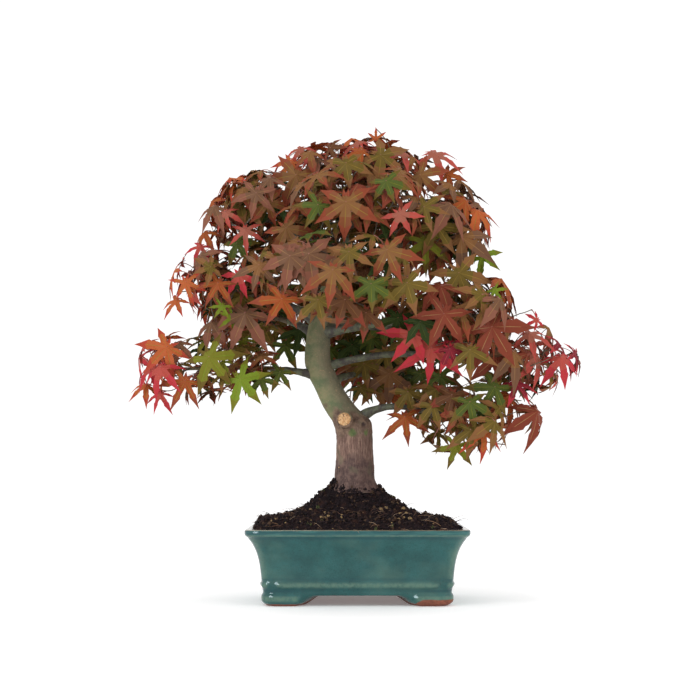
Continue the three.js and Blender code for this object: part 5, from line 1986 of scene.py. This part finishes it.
class MAPLE_OT_stage(bpy.types.Operator):
    """Sets up the floor, the soft lights and the camera"""

    bl_idname = "maple.stage"
    bl_label = "Studio"

    def execute(self, context):
        settings = context.scene.maple_stage
        scene = context.scene
        bm = bmesh.new()
        bmesh.ops.create_grid(bm, x_segments=1, y_segments=1, size=FLOOR_HALF)
        mesh = bpy.data.meshes.new("floor")
        bm.to_mesh(mesh)
        bm.free()
        floor = bpy.data.objects.new("floor", mesh)
        scene.collection.objects.link(floor)
        pale = Finish("pale_floor", settings.floor, 0.9, specular_ior_level=0.1, emission_strength=0.16)
        mesh.materials.append(pale.material)
        self.lights(scene)
        self.camera(scene, settings)
        return {"FINISHED"}

    def lights(self, scene):
        """The light boxes in a pale room."""
        world = bpy.data.worlds.new("pale_room")
        world.use_nodes = True
        background = world.node_tree.nodes["Background"]
        background.inputs["Color"].default_value = (1.0, 1.0, 1.0, 1)
        background.inputs["Strength"].default_value = WORLD_STRENGTH
        scene.world = world
        for name, place, size, power, colour, lights_all in LIGHT_BOXES:
            data = bpy.data.lights.new(name, "AREA")
            data.shape = "SQUARE"
            data.size = size
            data.energy = power
            data.color = colour
            box = bpy.data.objects.new(name, data)
            box.location = place
            box.rotation_mode = "QUATERNION"
            box.rotation_quaternion = (LIGHTS_AIM - Vector(place)).to_track_quat("-Z", "Y")
            box.visible_diffuse = lights_all
            scene.collection.objects.link(box)
        scene.view_settings.view_transform = "Standard"

    def camera(self, scene, settings):
        """A long lens, level with the trunk's foot and looking a little up."""
        data = bpy.data.cameras.new("camera")
        data.lens = settings.focal_length
        data.sensor_width = SENSOR_WIDTH
        data.clip_start = CLIP_START
        data.clip_end = CLIP_END
        camera = bpy.data.objects.new("camera", data)
        camera.location = (
            PLANT_PLACE[0] + settings.camera_side,
            PLANT_PLACE[1] - settings.distance,
            settings.camera_height,
        )
        camera.rotation_euler = (math.pi / 2 + settings.pitch, 0, 0)
        scene.collection.objects.link(camera)
        scene.camera = camera


# ---------------------------------------------------------------- add-on

SETTINGS = (
    ("maple_pot", PotSettings),
    ("maple_soil", SoilSettings),
    ("maple_bark", BarkSettings),
    ("maple_leaves", LeafSettings),
    ("maple_stage", StageSettings),
)
OPERATORS = (MAPLE_OT_stage, MAPLE_OT_pot, MAPLE_OT_soil, MAPLE_OT_trunk, MAPLE_OT_twigs, MAPLE_OT_leaves)


class MAPLE_PT_panel(bpy.types.Panel):
    """Lists the settings and the pieces"""

    bl_idname = "MAPLE_PT_panel"
    bl_label = "Potted Maple"
    bl_space_type = "VIEW_3D"
    bl_region_type = "UI"
    bl_category = "Maple"

    def draw(self, context):
        for name, group in SETTINGS:
            box = self.layout.box()
            box.label(text=group.__doc__)
            for setting in group.__annotations__:
                box.prop(getattr(context.scene, name), setting)
        for operator in OPERATORS:
            self.layout.operator(operator.bl_idname)


def register():
    """Adds the settings, operators and panel."""
    for name, group in SETTINGS:
        bpy.utils.register_class(group)
        setattr(bpy.types.Scene, name, bpy.props.PointerProperty(type=group))
    for operator in OPERATORS:
        bpy.utils.register_class(operator)
    bpy.utils.register_class(MAPLE_PT_panel)


def unregister():
    """Takes them out again."""
    bpy.utils.unregister_class(MAPLE_PT_panel)
    for operator in reversed(OPERATORS):
        bpy.utils.unregister_class(operator)
    for name, group in reversed(SETTINGS):
        delattr(bpy.types.Scene, name)
        bpy.utils.unregister_class(group)


def main():
    """Builds every piece."""
    register()
    bpy.ops.maple.stage()
    bpy.ops.maple.pot()
    bpy.ops.maple.soil()
    bpy.ops.maple.trunk()
    bpy.ops.maple.twigs()
    bpy.ops.maple.leaves()


if __name__ == "__main__":
    main()
